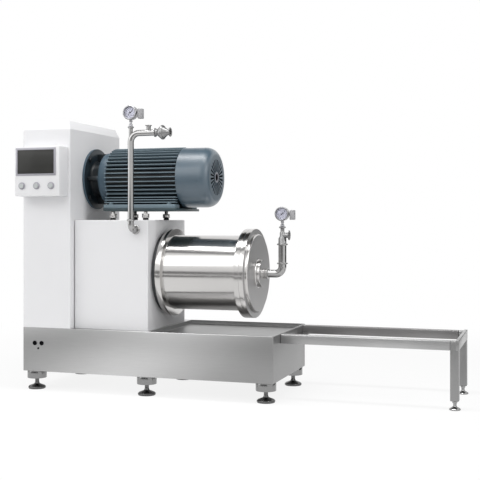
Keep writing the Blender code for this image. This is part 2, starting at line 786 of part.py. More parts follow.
def build_motor():
    """Finned motor with its shields, fan, cowl, terminal box and foot plate."""
    centre = (0, CENTRE_Y, MOTOR_Z)
    stator_hole = seat_for(STATOR_RADIUS, ROUND_SIDES)
    frame = to_mesh(plate(
        "motor_frame", "X", centre, FRAME_START, FRAME_END,
        [finned_outline(), ring_points(stator_hole, ROUND_SIDES)], BLUE,
    ))
    inner = FOOT_SLAB_OUT - FOOT_SLAB_WIDTH
    for side in (-1, 1):
        ends = sorted((CENTRE_Y + side * inner, CENTRE_Y + side * FOOT_SLAB_OUT))
        web = sorted((CENTRE_Y + side * (inner + 0.004), CENTRE_Y + side * (inner + FOOT_WEB)))
        slab_top = MOTOR_FOOT_Z + FOOT_SLAB
        slab_low = (FOOT_START - 0.001, ends[0], MOTOR_FOOT_Z)
        slab_high = (FOOT_END + 0.001, ends[1], slab_top)
        web_low = (FOOT_START, web[0], slab_top - WEB_ENTRY)
        web_high = (FOOT_END, web[1], MOTOR_Z - WEB_TOP_DROP)
        join(
            frame,
            box("foot_web", web_low, web_high, BLUE),
            box("foot_slab", slab_low, slab_high, BLUE),
        )

    shaft_hole = bore_for(ROTOR_SHAFT_RADIUS, FINE_SIDES, RUN)
    bearing_end = FRAME_START - SEAT
    flange_back = MOTOR_FACE + MOTOR_FLANGE_THICKNESS
    shield = turned("motor_end_shield", [
        (MOTOR_FACE - MOTOR_SPIGOT_LENGTH, shaft_hole),
        (MOTOR_FACE - MOTOR_SPIGOT_LENGTH, MOTOR_SPIGOT_RADIUS),
        (MOTOR_FACE, MOTOR_SPIGOT_RADIUS),
        (MOTOR_FACE, MOTOR_FLANGE_RADIUS),
        (flange_back, MOTOR_FLANGE_RADIUS),
        (flange_back, MOTOR_NECK_RADIUS),
        (BELL_START - 0.012, MOTOR_NECK_RADIUS),
        (BELL_START, BELL_RADIUS - 0.006),
        (BELL_START + 0.006, BELL_RADIUS),
        (bearing_end, BELL_RADIUS),
        (bearing_end, shaft_hole),
    ], "X", centre, BLUE, FINE_SIDES)
    ribs = []
    for number in range(4):
        along_y = number % 2 == 0
        side = 1 if number < 2 else -1
        reach = sorted((side * MOTOR_NECK_RADIUS * 0.9, side * SHIELD_RIB_RADIUS))
        low = [flange_back - 0.004, CENTRE_Y - SHIELD_RIB / 2, MOTOR_Z - SHIELD_RIB / 2]
        high = [BELL_START + 0.004, CENTRE_Y + SHIELD_RIB / 2, MOTOR_Z + SHIELD_RIB / 2]
        which = 1 if along_y else 2
        middle = (CENTRE_Y, MOTOR_Z)[which - 1]
        low[which] = middle + reach[0]
        high[which] = middle + reach[1]
        ribs.append(box("rib", low, high, BLUE))
    join(shield, merge_copies("shield_ribs", ribs, BLUE))

    core_hole = bore_for(STATOR_BORE, ROUND_SIDES, RUN)
    turned("stator_core", [
        (STATOR_START, core_hole), (STATOR_START, STATOR_RADIUS),
        (STATOR_END, STATOR_RADIUS), (STATOR_END, core_hole),
    ], "X", centre, COPPER, ROUND_SIDES)
    turned("rotor_shaft", [
        (ROTOR_START, 0.0), (ROTOR_START, ROTOR_SHAFT_RADIUS),
        (STATOR_START + 0.010, ROTOR_SHAFT_RADIUS), (STATOR_START + 0.010, STATOR_BORE),
        (STATOR_END - 0.010, STATOR_BORE), (STATOR_END - 0.010, ROTOR_SHAFT_RADIUS),
        (ROTOR_STUB_END, ROTOR_SHAFT_RADIUS), (ROTOR_STUB_END, 0.0),
    ], "X", centre, IRON, ROUND_SIDES)
    rear_seat = FRAME_END + SEAT
    cowl_inner = COWL_RADIUS - COWL_SHEET
    rear_shield_radius = cowl_inner - 0.0006
    turned("motor_rear_shield", [
        (rear_seat, shaft_hole), (rear_seat, rear_shield_radius),
        (rear_seat + 0.016, rear_shield_radius), (rear_seat + 0.020, rear_shield_radius - 0.03),
        (rear_seat + MOTOR_BEARING_WIDTH + 0.008, 0.075),
        (rear_seat + MOTOR_BEARING_WIDTH + 0.008, shaft_hole),
    ], "X", centre, BLUE, FINE_SIDES)
    build_fan(centre)
    build_cowl(centre, rear_seat)
    build_terminal_box()

    base_plate = box(
        "motor_base_plate",
        (PLATE_START, CENTRE_Y - PLATE_HALF_WIDTH, PLATE_BOTTOM),
        (PLATE_END, CENTRE_Y + PLATE_HALF_WIDTH, MOTOR_FOOT_Z - SEAT),
        BLUE,
        0.002,
        1,
    )
    low = HOUSING_TOP + SEAT
    nut_low = low + JACK_BASE_HEIGHT
    nut_high = nut_low + JACK_NUT_HEIGHT
    jacks = []
    for x in JACK_XS:
        for y in (CENTRE_Y - JACK_OFFSET, CENTRE_Y + JACK_OFFSET):
            jack = turned("jack", [
                (low, 0.0), (low, JACK_BASE_RADIUS), (nut_low + 0.002, JACK_BASE_RADIUS),
                (nut_low + 0.002, JACK_NUT_RADIUS), (nut_high, JACK_NUT_RADIUS),
                (nut_high, JACK_STEM_RADIUS), (PLATE_BOTTOM + 0.005, JACK_STEM_RADIUS),
                (PLATE_BOTTOM + 0.005, 0.0),
            ], "Z", (x, y, 0), POLISHED, SMALL_SIDES)
            jacks.append(jack)
    join(base_plate, merge_copies("jack_screws", jacks, POLISHED))


def build_fan(centre):
    """Radial cooling fan on the motor's rear shaft end."""
    hole = seat_for(ROTOR_SHAFT_RADIUS)
    fan = turned("cooling_fan", [
        (FAN_START, hole), (FAN_START, FAN_RADIUS), (FAN_START + 0.004, FAN_RADIUS),
        (FAN_START + 0.004, FAN_HUB_RADIUS), (FAN_START + FAN_DEPTH, FAN_HUB_RADIUS - 0.008),
        (FAN_START + FAN_DEPTH, hole),
    ], "X", centre, BLACK, ROUND_SIDES)
    blades = []
    for number in range(FAN_BLADES):
        angle = math.tau * number / FAN_BLADES
        inner = FAN_HUB_RADIUS - 0.010
        blade = box(
            "blade",
            (FAN_START + 0.002, inner, -FAN_BLADE / 2),
            (FAN_START + FAN_DEPTH, FAN_RADIUS - 0.003, FAN_BLADE / 2),
            BLACK,
        )
        for vertex in blade.data.vertices:
            vertex.co.y += blade.location.y
        blade.location = (blade.location.x, CENTRE_Y, MOTOR_Z)
        blade.rotation_euler = (angle, 0, 0)
        blades.append(blade)
    join(fan, merge_copies("fan_blades", blades, BLACK))


def build_cowl(centre, start):
    """Pressed fan cowl with a rounded end and a slotted grille."""
    face_radius = COWL_RADIUS - COWL_ROUND_DROP
    round_start = COWL_END - COWL_ROUND_LENGTH
    steps = 3
    outer = [(start, COWL_RADIUS)]
    inner = [(start, COWL_RADIUS - COWL_SHEET)]
    for step in range(steps + 1):
        angle = math.pi / 2 * step / steps
        along = round_start + COWL_ROUND_LENGTH * math.sin(angle)
        radius = face_radius + COWL_ROUND_DROP * math.cos(angle)
        outer.append((along, radius))
        inner.append((along - COWL_SHEET * math.sin(angle), radius - COWL_SHEET * math.cos(angle)))
    cowl = turned("fan_cowl", outer + [(COWL_END, 0.0), (COWL_END - COWL_SHEET, 0.0)] + inner[::-1],
                  "X", centre, BLUE, FINE_SIDES)
    slots = [rod("hole", "X", centre, COWL_END - 0.02, COWL_END + 0.02, GRILLE_HOLE, BLUE, SMALL_SIDES)]
    for number in range(GRILLE_SLOTS):
        slot = box(
            "slot",
            (COWL_END - 0.02, GRILLE_INNER, -GRILLE_SLOT_WIDTH / 2),
            (COWL_END + 0.02, GRILLE_OUTER, GRILLE_SLOT_WIDTH / 2),
            BLUE,
        )
        for vertex in slot.data.vertices:
            vertex.co.y += slot.location.y
            if vertex.co.y < (GRILLE_INNER + GRILLE_OUTER) / 2:
                vertex.co.z *= 0.55
        slot.location = (slot.location.x, CENTRE_Y, MOTOR_Z)
        slot.rotation_euler = (math.tau * (number + 0.5) / GRILLE_SLOTS, 0, 0)
        slots.append(slot)
    cut(cowl, merge_copies("grille_slots", slots, BLUE))


def build_terminal_box():
    """Terminal box on the motor's far side, with its lid and cable gland."""
    inner = CENTRE_Y + FIN_TIP_RADIUS + SEAT
    outer = inner + TERMINAL_DEPTH - TERMINAL_LID
    low = MOTOR_Z - TERMINAL_HEIGHT / 2
    high = MOTOR_Z + TERMINAL_HEIGHT / 2
    end = TERMINAL_START + TERMINAL_LENGTH
    body = box("terminal_box", (TERMINAL_START, inner, low), (end, outer, high), BLUE, 0.006, 1)
    lid_low = (TERMINAL_START, outer + SEAT, low)
    box("terminal_box_lid", lid_low, (end, outer + TERMINAL_LID, high), BLUE, 0.005, 1)
    centre = ((TERMINAL_START + end) / 2, (inner + outer) / 2, 0)
    nose = low - GLAND_LENGTH
    join(
        body,
        hex_bar("gland_nut", "Z", centre, low - GLAND_LENGTH * 0.5, low + 0.004, GLAND_RADIUS, BLUE),
        rod("gland_nose", "Z", centre, nose, low - GLAND_LENGTH * 0.4, GLAND_RADIUS * 0.7, BLUE, SMALL_SIDES),
    )


def grooved_outline(radius):
    """Rim of a pulley with a V groove for each belt."""
    side = (PULLEY_WIDTH - BELT_COUNT * BELT_PITCH) / 2
    points = [(PULLEY_START, radius)]
    for number in range(BELT_COUNT):
        middle = PULLEY_START + side + (number + 0.5) * BELT_PITCH
        points += [
            (middle - GROOVE_TOP / 2, radius),
            (middle - GROOVE_BOTTOM / 2, radius - GROOVE_DEPTH),
            (middle + GROOVE_BOTTOM / 2, radius - GROOVE_DEPTH),
            (middle + GROOVE_TOP / 2, radius),
        ]
    points.append((PULLEY_START + PULLEY_WIDTH, radius))
    return points


def belt_route(radius_low, radius_high):
    """Belt line round the two pulleys, in the machine's Y and Z from the mill shaft."""
    distance = MOTOR_Z - MILL_Z
    tilt = math.asin((radius_low - radius_high) / distance)
    half = BELT_STEPS // 2
    wrap_low = math.pi + 2 * tilt
    wrap_high = math.pi - 2 * tilt
    corner_low = radius_low / math.cos(wrap_low / half / 2)
    corner_high = radius_high / math.cos(wrap_high / half / 2)
    low = ring_points(corner_low, half + 1, math.pi - tilt, math.pi - tilt + wrap_low)
    high = ring_points(corner_high, half + 1, tilt, tilt + wrap_high)
    return low + [(y, z + distance) for y, z in high]


def belt_section():
    """Banded belt across its width: (place along the shafts, height over the pulley rims)."""
    slope = (GROOVE_TOP - GROOVE_BOTTOM) / 2 / GROOVE_DEPTH
    rib = GROOVE_DEPTH - BELT_FLOAT
    tip = GROOVE_BOTTOM / 2 + BELT_FLOAT * slope - BELT_SIDE_GAP
    root = tip + (rib + BELT_RISE) * slope
    side = (PULLEY_WIDTH - BELT_COUNT * BELT_PITCH) / 2
    middles = [PULLEY_START + side + (number + 0.5) * BELT_PITCH for number in range(BELT_COUNT)]
    section = [(middles[-1] + root, BELT_RISE + BELT_BAND), (middles[0] - root, BELT_RISE + BELT_BAND)]
    for middle in middles:
        section += [
            (middle - root, BELT_RISE), (middle - tip, -rib),
            (middle + tip, -rib), (middle + root, BELT_RISE),
        ]
    return section


def build_belt_drive():
    """Motor pulley, mill pulley and the banded V belt between them."""
    web_low = PULLEY_START + (PULLEY_WIDTH - PULLEY_WEB) / 2
    web_high = web_low + PULLEY_WEB
    end = PULLEY_START + PULLEY_WIDTH
    small_bore = seat_for(ROTOR_SHAFT_RADIUS)
    motor_rim = grooved_outline(MOTOR_PULLEY_RADIUS)
    turned("motor_pulley", motor_rim + [(end, small_bore), (PULLEY_START, small_bore)],
           "X", (0, CENTRE_Y, MOTOR_Z), IRON, ROUND_SIDES)
    inside = MILL_PULLEY_RADIUS - PULLEY_RIM_WALL
    mill_bore = seat_for(SHAFT_PULLEY_RADIUS)
    turned("mill_pulley", grooved_outline(MILL_PULLEY_RADIUS) + [
        (end, inside), (web_high, inside), (web_high, PULLEY_HUB_RADIUS), (end, PULLEY_HUB_RADIUS),
        (end, mill_bore), (PULLEY_START, mill_bore), (PULLEY_START, PULLEY_HUB_RADIUS),
        (web_low, PULLEY_HUB_RADIUS), (web_low, inside), (PULLEY_START, inside),
    ], "X", (0, CENTRE_Y, MILL_Z), IRON, ROUND_SIDES)

    section = belt_section()
    routes = {
        height: belt_route(MILL_PULLEY_RADIUS + height, MOTOR_PULLEY_RADIUS + height)
        for _, height in section
    }
    steps = len(routes[BELT_RISE])
    shape = bmesh.new()
    rings = []
    for step in range(steps):
        rings.append([
            shape.verts.new((along, CENTRE_Y + routes[height][step][0], MILL_Z + routes[height][step][1]))
            for along, height in section
        ])
    count = len(section)
    for ring, following in zip(rings, rings[1:] + rings[:1]):
        for corner in range(count):
            beyond = (corner + 1) % count
            shape.faces.new((ring[corner], ring[beyond], following[beyond], following[corner]))
    bmesh.ops.recalc_face_normals(shape, faces=shape.faces)
    mesh = bpy.data.meshes.new("drive_belt")
    shape.to_mesh(mesh)
    shape.free()
    add_object("drive_belt", mesh, BLACK)


def build_drive_housing():
    """White housing with the bearing cartridge, its pedestal, the neck and the seal seat."""
    centre = (0, CENTRE_Y, MILL_Z)
    low = Vector((HOUSING_LEFT, HOUSING_FRONT, BASE_TOP + SEAT))
    high = Vector((HOUSING_RIGHT, HOUSING_BACK, HOUSING_TOP))
    shape = bmesh.new()
    bmesh.ops.create_cube(shape, size=1.0)
    bmesh.ops.scale(shape, vec=high - low, verts=shape.verts)
    bmesh.ops.translate(shape, vec=(low + high) / 2, verts=shape.verts)
    floor = [face for face in shape.faces if face.normal.z < -0.5]
    bmesh.ops.delete(shape, geom=floor, context="FACES_ONLY")
    mesh = bpy.data.meshes.new("drive_housing")
    shape.to_mesh(mesh)
    shape.free()
    housing = add_object("drive_housing", mesh, WHITE)
    wall = housing.modifiers.new("sheet", "SOLIDIFY")
    wall.thickness = HOUSING_SHEET
    wall.offset = -1.0
    wall.use_even_offset = True
    neck_hole = seat_for(NECK_RADIUS, FINE_SIDES)
    middle = (HOUSING_LEFT + HOUSING_RIGHT) / 2
    feed_hole = bore_for(FEED_RADIUS, SMALL_SIDES)
    feed_port = (FEED_X, 0, FEED_PORT_Z)
    cut(
        housing,
        rod("neck_opening", "X", centre, middle, HOUSING_RIGHT + 0.05, neck_hole, WHITE, FINE_SIDES),
        rod("shaft_way", "X", centre, HOUSING_LEFT - 0.05, middle, SHAFT_BEARING_RADIUS + 0.020, WHITE),
        rod("feed_way", "Y", feed_port, 0, HOUSING_FRONT + 0.05, feed_hole, WHITE, SMALL_SIDES),
    )

    shaft_hole = bore_for(SHAFT_BEARING_RADIUS, ROUND_SIDES, RUN)
    seat_hole = seat_for(BEARING_RADIUS)
    first, second = BEARING_XS
    turned("bearing_cartridge", [
        (CARTRIDGE_START, seat_hole), (CARTRIDGE_START, CARTRIDGE_RADIUS),
        (CARTRIDGE_END - CARTRIDGE_FLANGE, CARTRIDGE_RADIUS),
        (CARTRIDGE_END - CARTRIDGE_FLANGE, CARTRIDGE_FLANGE_RADIUS),
        (CARTRIDGE_END, CARTRIDGE_FLANGE_RADIUS), (CARTRIDGE_END, seat_hole),
        (second - SEAT, seat_hole), (second - SEAT, BEARING_RADIUS - 0.010),
        (first + BEARING_WIDTH + SEAT, BEARING_RADIUS - 0.010), (first + BEARING_WIDTH + SEAT, seat_hole),
    ], "X", centre, IRON, ROUND_SIDES)
    for name, start in (("mill_bearing_rear", first), ("mill_bearing_front", second)):
        turned(name, [
            (start, shaft_hole), (start, BEARING_RADIUS),
            (start + BEARING_WIDTH, BEARING_RADIUS), (start + BEARING_WIDTH, shaft_hole),
        ], "X", centre, POLISHED, ROUND_SIDES)

    foot_low = BASE_TOP + SEAT
    foot_high = foot_low + PEDESTAL_FOOT
    pedestal = box(
        "bearing_pedestal",
        (PEDESTAL_XS[0] - 0.03, CENTRE_Y - PEDESTAL_HALF_WIDTH, foot_low),
        (PEDESTAL_XS[1] + PEDESTAL_PLATE + 0.03, CENTRE_Y + PEDESTAL_HALF_WIDTH, foot_high),
        IRON,
    )
    cradle = seat_for(CARTRIDGE_RADIUS)
    for x in PEDESTAL_XS:
        reach = PEDESTAL_HALF_WIDTH - 0.020
        top = CARTRIDGE_RADIUS + 0.030
        foot = foot_high - 0.004 - MILL_Z
        join(pedestal, to_mesh(plate(
            "upright", "X", (0, CENTRE_Y, MILL_Z), x, x + PEDESTAL_PLATE,
            [[(-reach, foot), (reach, foot), (top, -0.060), (top, top - 0.050), (top - 0.050, top),
              (0.050 - top, top), (-top, top - 0.050), (-top, -0.060)]], IRON,
        )))
    cut(pedestal, rod("cradle", "X", centre, PEDESTAL_XS[0] - 0.05, PEDESTAL_XS[1] + 0.09, cradle, IRON))

    neck_start = CARTRIDGE_END + SEAT
    neck_end = CHAMBER_START - SEAT
    seal_room = SEAL_RADIUS + 0.014
    seal_start = neck_start + 0.015
    ring_bore = bore_for(SHAFT_BEARING_RADIUS, FINE_SIDES, RUN)
    turned("chamber_neck", [
        (neck_start, ring_bore), (neck_start, CARTRIDGE_FLANGE_RADIUS),
        (HOUSING_RIGHT - HOUSING_SHEET - 0.020, CARTRIDGE_FLANGE_RADIUS),
        (HOUSING_RIGHT - HOUSING_SHEET - 0.010, NECK_RADIUS),
        (neck_end, NECK_RADIUS), (neck_end, seal_room),
        (seal_start + SEAL_WIDTH, seal_room), (seal_start + SEAL_WIDTH, ring_bore),
    ], "X", centre, IRON, FINE_SIDES)
    face = seal_start + SEAL_WIDTH + RUN
    grip = seat_for(SHAFT_BEARING_RADIUS)
    turned("seal_ring", [
        (face, grip), (face, SEAL_RADIUS - 0.002), (face + 0.018, SEAL_RADIUS - 0.002),
        (face + 0.022, SEAL_RADIUS - 0.008), (face + 0.022, grip),
    ], "X", centre, IRON, ROUND_SIDES)


def build_agitator():
    """Mill shaft with its end nut, and the agitator rotor that is keyed on it."""
    centre = (0, CENTRE_Y, MILL_Z)
    half = DISC_THICKNESS / 2
    rotor_start = DISC_FIRST - half
    rotor_end = DISC_FIRST + (DISC_COUNT - 1) * DISC_PITCH + half
    shoulder = rotor_start - SEAT
    nut_start = rotor_end + SEAT
    nut_end = nut_start + SHAFT_NUT
    shaft = turned("mill_shaft", [
        (SHAFT_START, 0.0), (SHAFT_START, SHAFT_PULLEY_RADIUS),
        (CARTRIDGE_START - 0.030, SHAFT_PULLEY_RADIUS), (CARTRIDGE_START - 0.030, SHAFT_BEARING_RADIUS),
        (shoulder - 0.030, SHAFT_BEARING_RADIUS), (shoulder - 0.030, SPACER_RADIUS),
        (shoulder, SPACER_RADIUS), (shoulder, SHAFT_CHAMBER_RADIUS),
        (nut_end, SHAFT_CHAMBER_RADIUS), (nut_end + 0.004, SHAFT_CHAMBER_RADIUS - 0.004),
        (nut_end + 0.004, 0.0),
    ], "X", centre, STEEL, ROUND_SIDES)
    join(shaft, hex_bar("shaft_nut", "X", centre, nut_start, nut_end - 0.004, SPACER_RADIUS, STEEL))

    hole = seat_for(SHAFT_CHAMBER_RADIUS)
    outline = [(rotor_start, hole)]
    for number in range(DISC_COUNT):
        middle = DISC_FIRST + number * DISC_PITCH
        if number:
            outline.append((middle - half, SPACER_RADIUS))
        outline += [(middle - half, DISC_RADIUS), (middle + half, DISC_RADIUS)]
        if number < DISC_COUNT - 1:
            outline.append((middle + half, SPACER_RADIUS))
    outline.append((rotor_end, hole))
    rotor = turned("agitator_rotor", outline, "X", centre, STEEL, ROUND_SIDES)
    spread = math.radians(DISC_WINDOW_HALF_ANGLE)
    windows = []
    for number in range(DISC_WINDOWS):
        angle = math.tau * number / DISC_WINDOWS
        kidney = ring_points(DISC_WINDOW_OUTER, 2, angle - spread, angle + spread)
        kidney += ring_points(DISC_WINDOW_INNER, 2, angle + spread, angle - spread)
        windows.append(plate("window", "X", centre, rotor_start - 0.01, rotor_end + 0.01, [kidney], STEEL))
    cut(rotor, merge_copies("disc_windows", windows, STEEL))


def build_chamber():
    """Jacketed grinding chamber with its flanges, liner, end cover and separator screen."""
    centre = (0, CENTRE_Y, MILL_Z)
    liner_bore = LINER_RADIUS - LINER_WALL
    body_start = CHAMBER_BODY_START + SEAT
    body_end = FRONT_FLANGE_START - SEAT
    front_end = FRONT_FLANGE_START + FRONT_FLANGE
    inside = JACKET_RADIUS - JACKET_WALL
    turned("chamber_jacket", [
        (CHAMBER_START, liner_bore), (CHAMBER_START, FLANGE_RADIUS),
        (CHAMBER_BODY_START, FLANGE_RADIUS), (CHAMBER_BODY_START, JACKET_RADIUS),
        (FRONT_FLANGE_START, JACKET_RADIUS), (FRONT_FLANGE_START, FLANGE_RADIUS),
        (front_end, FLANGE_RADIUS), (front_end, liner_bore),
        (FRONT_FLANGE_START, liner_bore), (FRONT_FLANGE_START, inside),
        (CHAMBER_BODY_START, inside), (CHAMBER_BODY_START, liner_bore),
    ], "X", centre, POLISHED, FINE_SIDES)
    turned("chamber_liner", [
        (body_start, liner_bore), (body_start, LINER_RADIUS),
        (body_end, LINER_RADIUS), (body_end, liner_bore),
    ], "X", centre, STEEL, ROUND_SIDES)
    spigot = liner_bore - SEAT
    bore = DISCHARGE_RADIUS - DISCHARGE_WALL
    rim_end = COVER_START + COVER_FLANGE
    turned("end_cover", [
        (COVER_START - COVER_SPIGOT, bore), (COVER_START - COVER_SPIGOT, spigot),
        (COVER_START, spigot), (COVER_START, FLANGE_RADIUS),
        (rim_end, FLANGE_RADIUS), (rim_end, COVER_DISC_RADIUS),
        (COVER_FACE - COVER_EDGE, COVER_DISC_RADIUS), (COVER_FACE, COVER_DISC_RADIUS - COVER_EDGE),
        (COVER_FACE, HUB_RADIUS), (HUB_FACE, HUB_RADIUS), (HUB_FACE, NIPPLE_RADIUS),
        (NIPPLE_END - FERRULE, NIPPLE_RADIUS), (NIPPLE_END - FERRULE, DISCHARGE_FERRULE_RADIUS),
        (NIPPLE_END, DISCHARGE_FERRULE_RADIUS), (NIPPLE_END, bore),
    ], "X", centre, POLISHED, FINE_SIDES)
    screen_end = COVER_START - COVER_SPIGOT - SEAT
    screen = turned("separator_screen", [
        (screen_end - SCREEN_LENGTH, 0.0), (screen_end - SCREEN_LENGTH, SCREEN_RADIUS),
        (screen_end, SCREEN_RADIUS), (screen_end, SCREEN_RADIUS - SCREEN_WALL),
        (screen_end - SCREEN_LENGTH + SCREEN_WALL, SCREEN_RADIUS - SCREEN_WALL),
        (screen_end - SCREEN_LENGTH + SCREEN_WALL, 0.0),
    ], "X", centre, STEEL, ROUND_SIDES)
    slots = []
    for number in range(SCREEN_SLOTS // 2):
        slot = box(
            "slot",
            (screen_end - SCREEN_LENGTH + 0.010, -SCREEN_RADIUS - 0.010, -SCREEN_SLOT_WIDTH / 2),
            (screen_end - 0.010, SCREEN_RADIUS + 0.010, SCREEN_SLOT_WIDTH / 2),
            STEEL,
        )
        slot.location = (slot.location.x, CENTRE_Y, MILL_Z)
        slot.rotation_euler = (math.tau * number / SCREEN_SLOTS, 0, 0)
        slots.append(slot)
    cut(screen, *slots)


def build_discharge_line():
    """Elbow and riser, tee with its side port, and the gauge."""
    centre = (0, CENTRE_Y, MILL_Z)
    lower, upper = DISCHARGE_JOINTS
    elbow_start = NIPPLE_END + SEAT
    corners = [
        (elbow_start + FERRULE / 2, CENTRE_Y, MILL_Z),
        (DISCHARGE_X, CENTRE_Y, MILL_Z),
        (DISCHARGE_X, CENTRE_Y, upper - FERRULE / 2),
    ]
    route = rounded_path(corners, DISCHARGE_BEND)
    elbow = to_mesh(pipe("discharge_elbow", route, DISCHARGE_RADIUS, POLISHED))
    vertical = (DISCHARGE_X, CENTRE_Y, 0)
    top = upper - SEAT / 2
    rim = (DISCHARGE_FERRULE_RADIUS, POLISHED, PIPE_SIDES)
    join(
        elbow,
        rod("elbow_ferrule", "X", centre, elbow_start, elbow_start + FERRULE, *rim),
        rod("elbow_joint", "Z", vertical, lower - FERRULE, lower + FERRULE, *rim),
        rod("elbow_top", "Z", vertical, top - FERRULE, top, *rim),
    )
    tee_low = upper + SEAT / 2
    tee = turned("discharge_tee", [
        (tee_low, 0.0), (tee_low, DISCHARGE_FERRULE_RADIUS), (tee_low + FERRULE, DISCHARGE_FERRULE_RADIUS),
        (tee_low + FERRULE, DISCHARGE_RADIUS), (TEE_NARROW_Z, DISCHARGE_RADIUS),
        (TEE_NARROW_Z + 0.012, TEE_PORT_RADIUS), (TEE_PORT_Z + TEE_PORT_RADIUS, TEE_PORT_RADIUS),
        (TEE_PORT_Z + TEE_PORT_RADIUS + 0.006, STUB_RADIUS),
        (DISCHARGE_STUB_TOP - FERRULE, STUB_RADIUS),
        (DISCHARGE_STUB_TOP - FERRULE, BRANCH_FERRULE_RADIUS),
        (DISCHARGE_STUB_TOP, BRANCH_FERRULE_RADIUS), (DISCHARGE_STUB_TOP, 0.0),
    ], "Z", vertical, POLISHED, PIPE_SIDES)
    port_start = DISCHARGE_X + DISCHARGE_RADIUS + TEE_NECK
    neck_centre = (0, CENTRE_Y, TEE_PORT_Z)
    neck_radius = TEE_PORT_RADIUS - 0.0005
    join(tee, rod("tee_neck", "X", neck_centre, DISCHARGE_X, port_start, neck_radius, POLISHED, PIPE_SIDES))
    ferrule_port("discharge_port", "X", neck_centre, port_start + SEAT, TEE_PORT_END, TEE_PORT_RADIUS,
                 TEE_FERRULE_RADIUS)
    build_gauge("discharge_gauge", DISCHARGE_X, CENTRE_Y, DISCHARGE_GAUGE_Z, DISCHARGE_STUB_TOP + SEAT)


def ferrule_port(name, axis, centre, start, end, radius, ferrule_radius):
    """Short open pipe end with a clamp ferrule on its face."""
    bore = radius - FEED_WALL
    depth = min(PORT_DEPTH, (end - start) * 0.8)
    turned(name, [
        (start, 0.0), (start, radius), (end - FERRULE - 0.003, radius),
        (end - FERRULE, ferrule_radius), (end, ferrule_radius),
        (end, bore), (end - depth, bore), (end - depth, 0.0),
    ], axis, centre, POLISHED, PIPE_SIDES)


def build_feed_line():
    """Wall collar, elbow, riser with bend, branch port, check valve and gauge."""
    wall = HOUSING_FRONT - SEAT
    collar = turned("feed_wall_collar", [
        (wall, 0.0), (wall, FEED_COLLAR_RADIUS), (wall - FEED_COLLAR * 0.6, FEED_COLLAR_RADIUS),
        (wall - FEED_COLLAR, FEED_COLLAR_RADIUS - 0.004), (wall - FEED_COLLAR, 0.0),
    ], "Y", (FEED_X, 0, FEED_PORT_Z), POLISHED, PIPE_SIDES)
    joint_low = FEED_JOINT_Z - SEAT / 2
    corners = [
        (FEED_X, HOUSING_FRONT + HOUSING_SHEET, FEED_PORT_Z),
        (FEED_X, FEED_Y, FEED_PORT_Z),
        (FEED_X, FEED_Y, joint_low - FERRULE / 2),
    ]
    elbow = to_mesh(pipe("feed_elbow", rounded_path(corners, FEED_ELBOW_BEND), FEED_RADIUS, POLISHED))
    vertical = (FEED_X, FEED_Y, 0)
    rim = (FEED_FERRULE_RADIUS, POLISHED, PIPE_SIDES)
    valve_rim = (VALVE_FERRULE_RADIUS, POLISHED, PIPE_SIDES)
    ferrule = rod("feed_elbow_ferrule", "Z", vertical, joint_low - FERRULE, joint_low, *rim)
    join(elbow, ferrule, collar)
    pipe_low = FEED_JOINT_Z + SEAT / 2
    valve_face = VALVE_START - SEAT
    corners = [
        (FEED_X, FEED_Y, pipe_low + FERRULE / 2),
        (FEED_X, FEED_Y, FEED_RUN_Z),
        (valve_face - FERRULE / 2, FEED_Y, FEED_RUN_Z),
    ]
    run = (0, FEED_Y, FEED_RUN_Z)
    riser = to_mesh(pipe("feed_pipe", rounded_path(corners, FEED_BEND, 8), FEED_RADIUS, POLISHED))
    stub_low = FEED_RUN_Z - FEED_BEND * 0.6
    join(
        riser,
        rod("riser_ferrule", "Z", vertical, pipe_low, pipe_low + FERRULE, *rim),
        rod("run_ferrule", "X", run, valve_face - FERRULE, valve_face, *valve_rim),
        turned("gauge_stub", [
            (stub_low, 0.0), (stub_low, STUB_RADIUS), (FEED_STUB_TOP - FERRULE, STUB_RADIUS),
            (FEED_STUB_TOP - FERRULE, SMALL_FERRULE_RADIUS), (FEED_STUB_TOP, SMALL_FERRULE_RADIUS),
            (FEED_STUB_TOP, 0.0),
        ], "Z", vertical, POLISHED, SMALL_SIDES),
        turned("branch_port", [
            (FEED_RUN_Z, 0.0), (FEED_RUN_Z, BRANCH_RADIUS), (BRANCH_TOP - FERRULE - 0.003, BRANCH_RADIUS),
            (BRANCH_TOP - FERRULE, BRANCH_FERRULE_RADIUS), (BRANCH_TOP, BRANCH_FERRULE_RADIUS),
            (BRANCH_TOP, 0.0),
        ], "Z", (BRANCH_X, FEED_Y, 0), POLISHED, SMALL_SIDES),
    )
    build_check_valve()
    build_gauge("feed_gauge", FEED_X, FEED_Y, FEED_GAUGE_Z, FEED_STUB_TOP + SEAT)


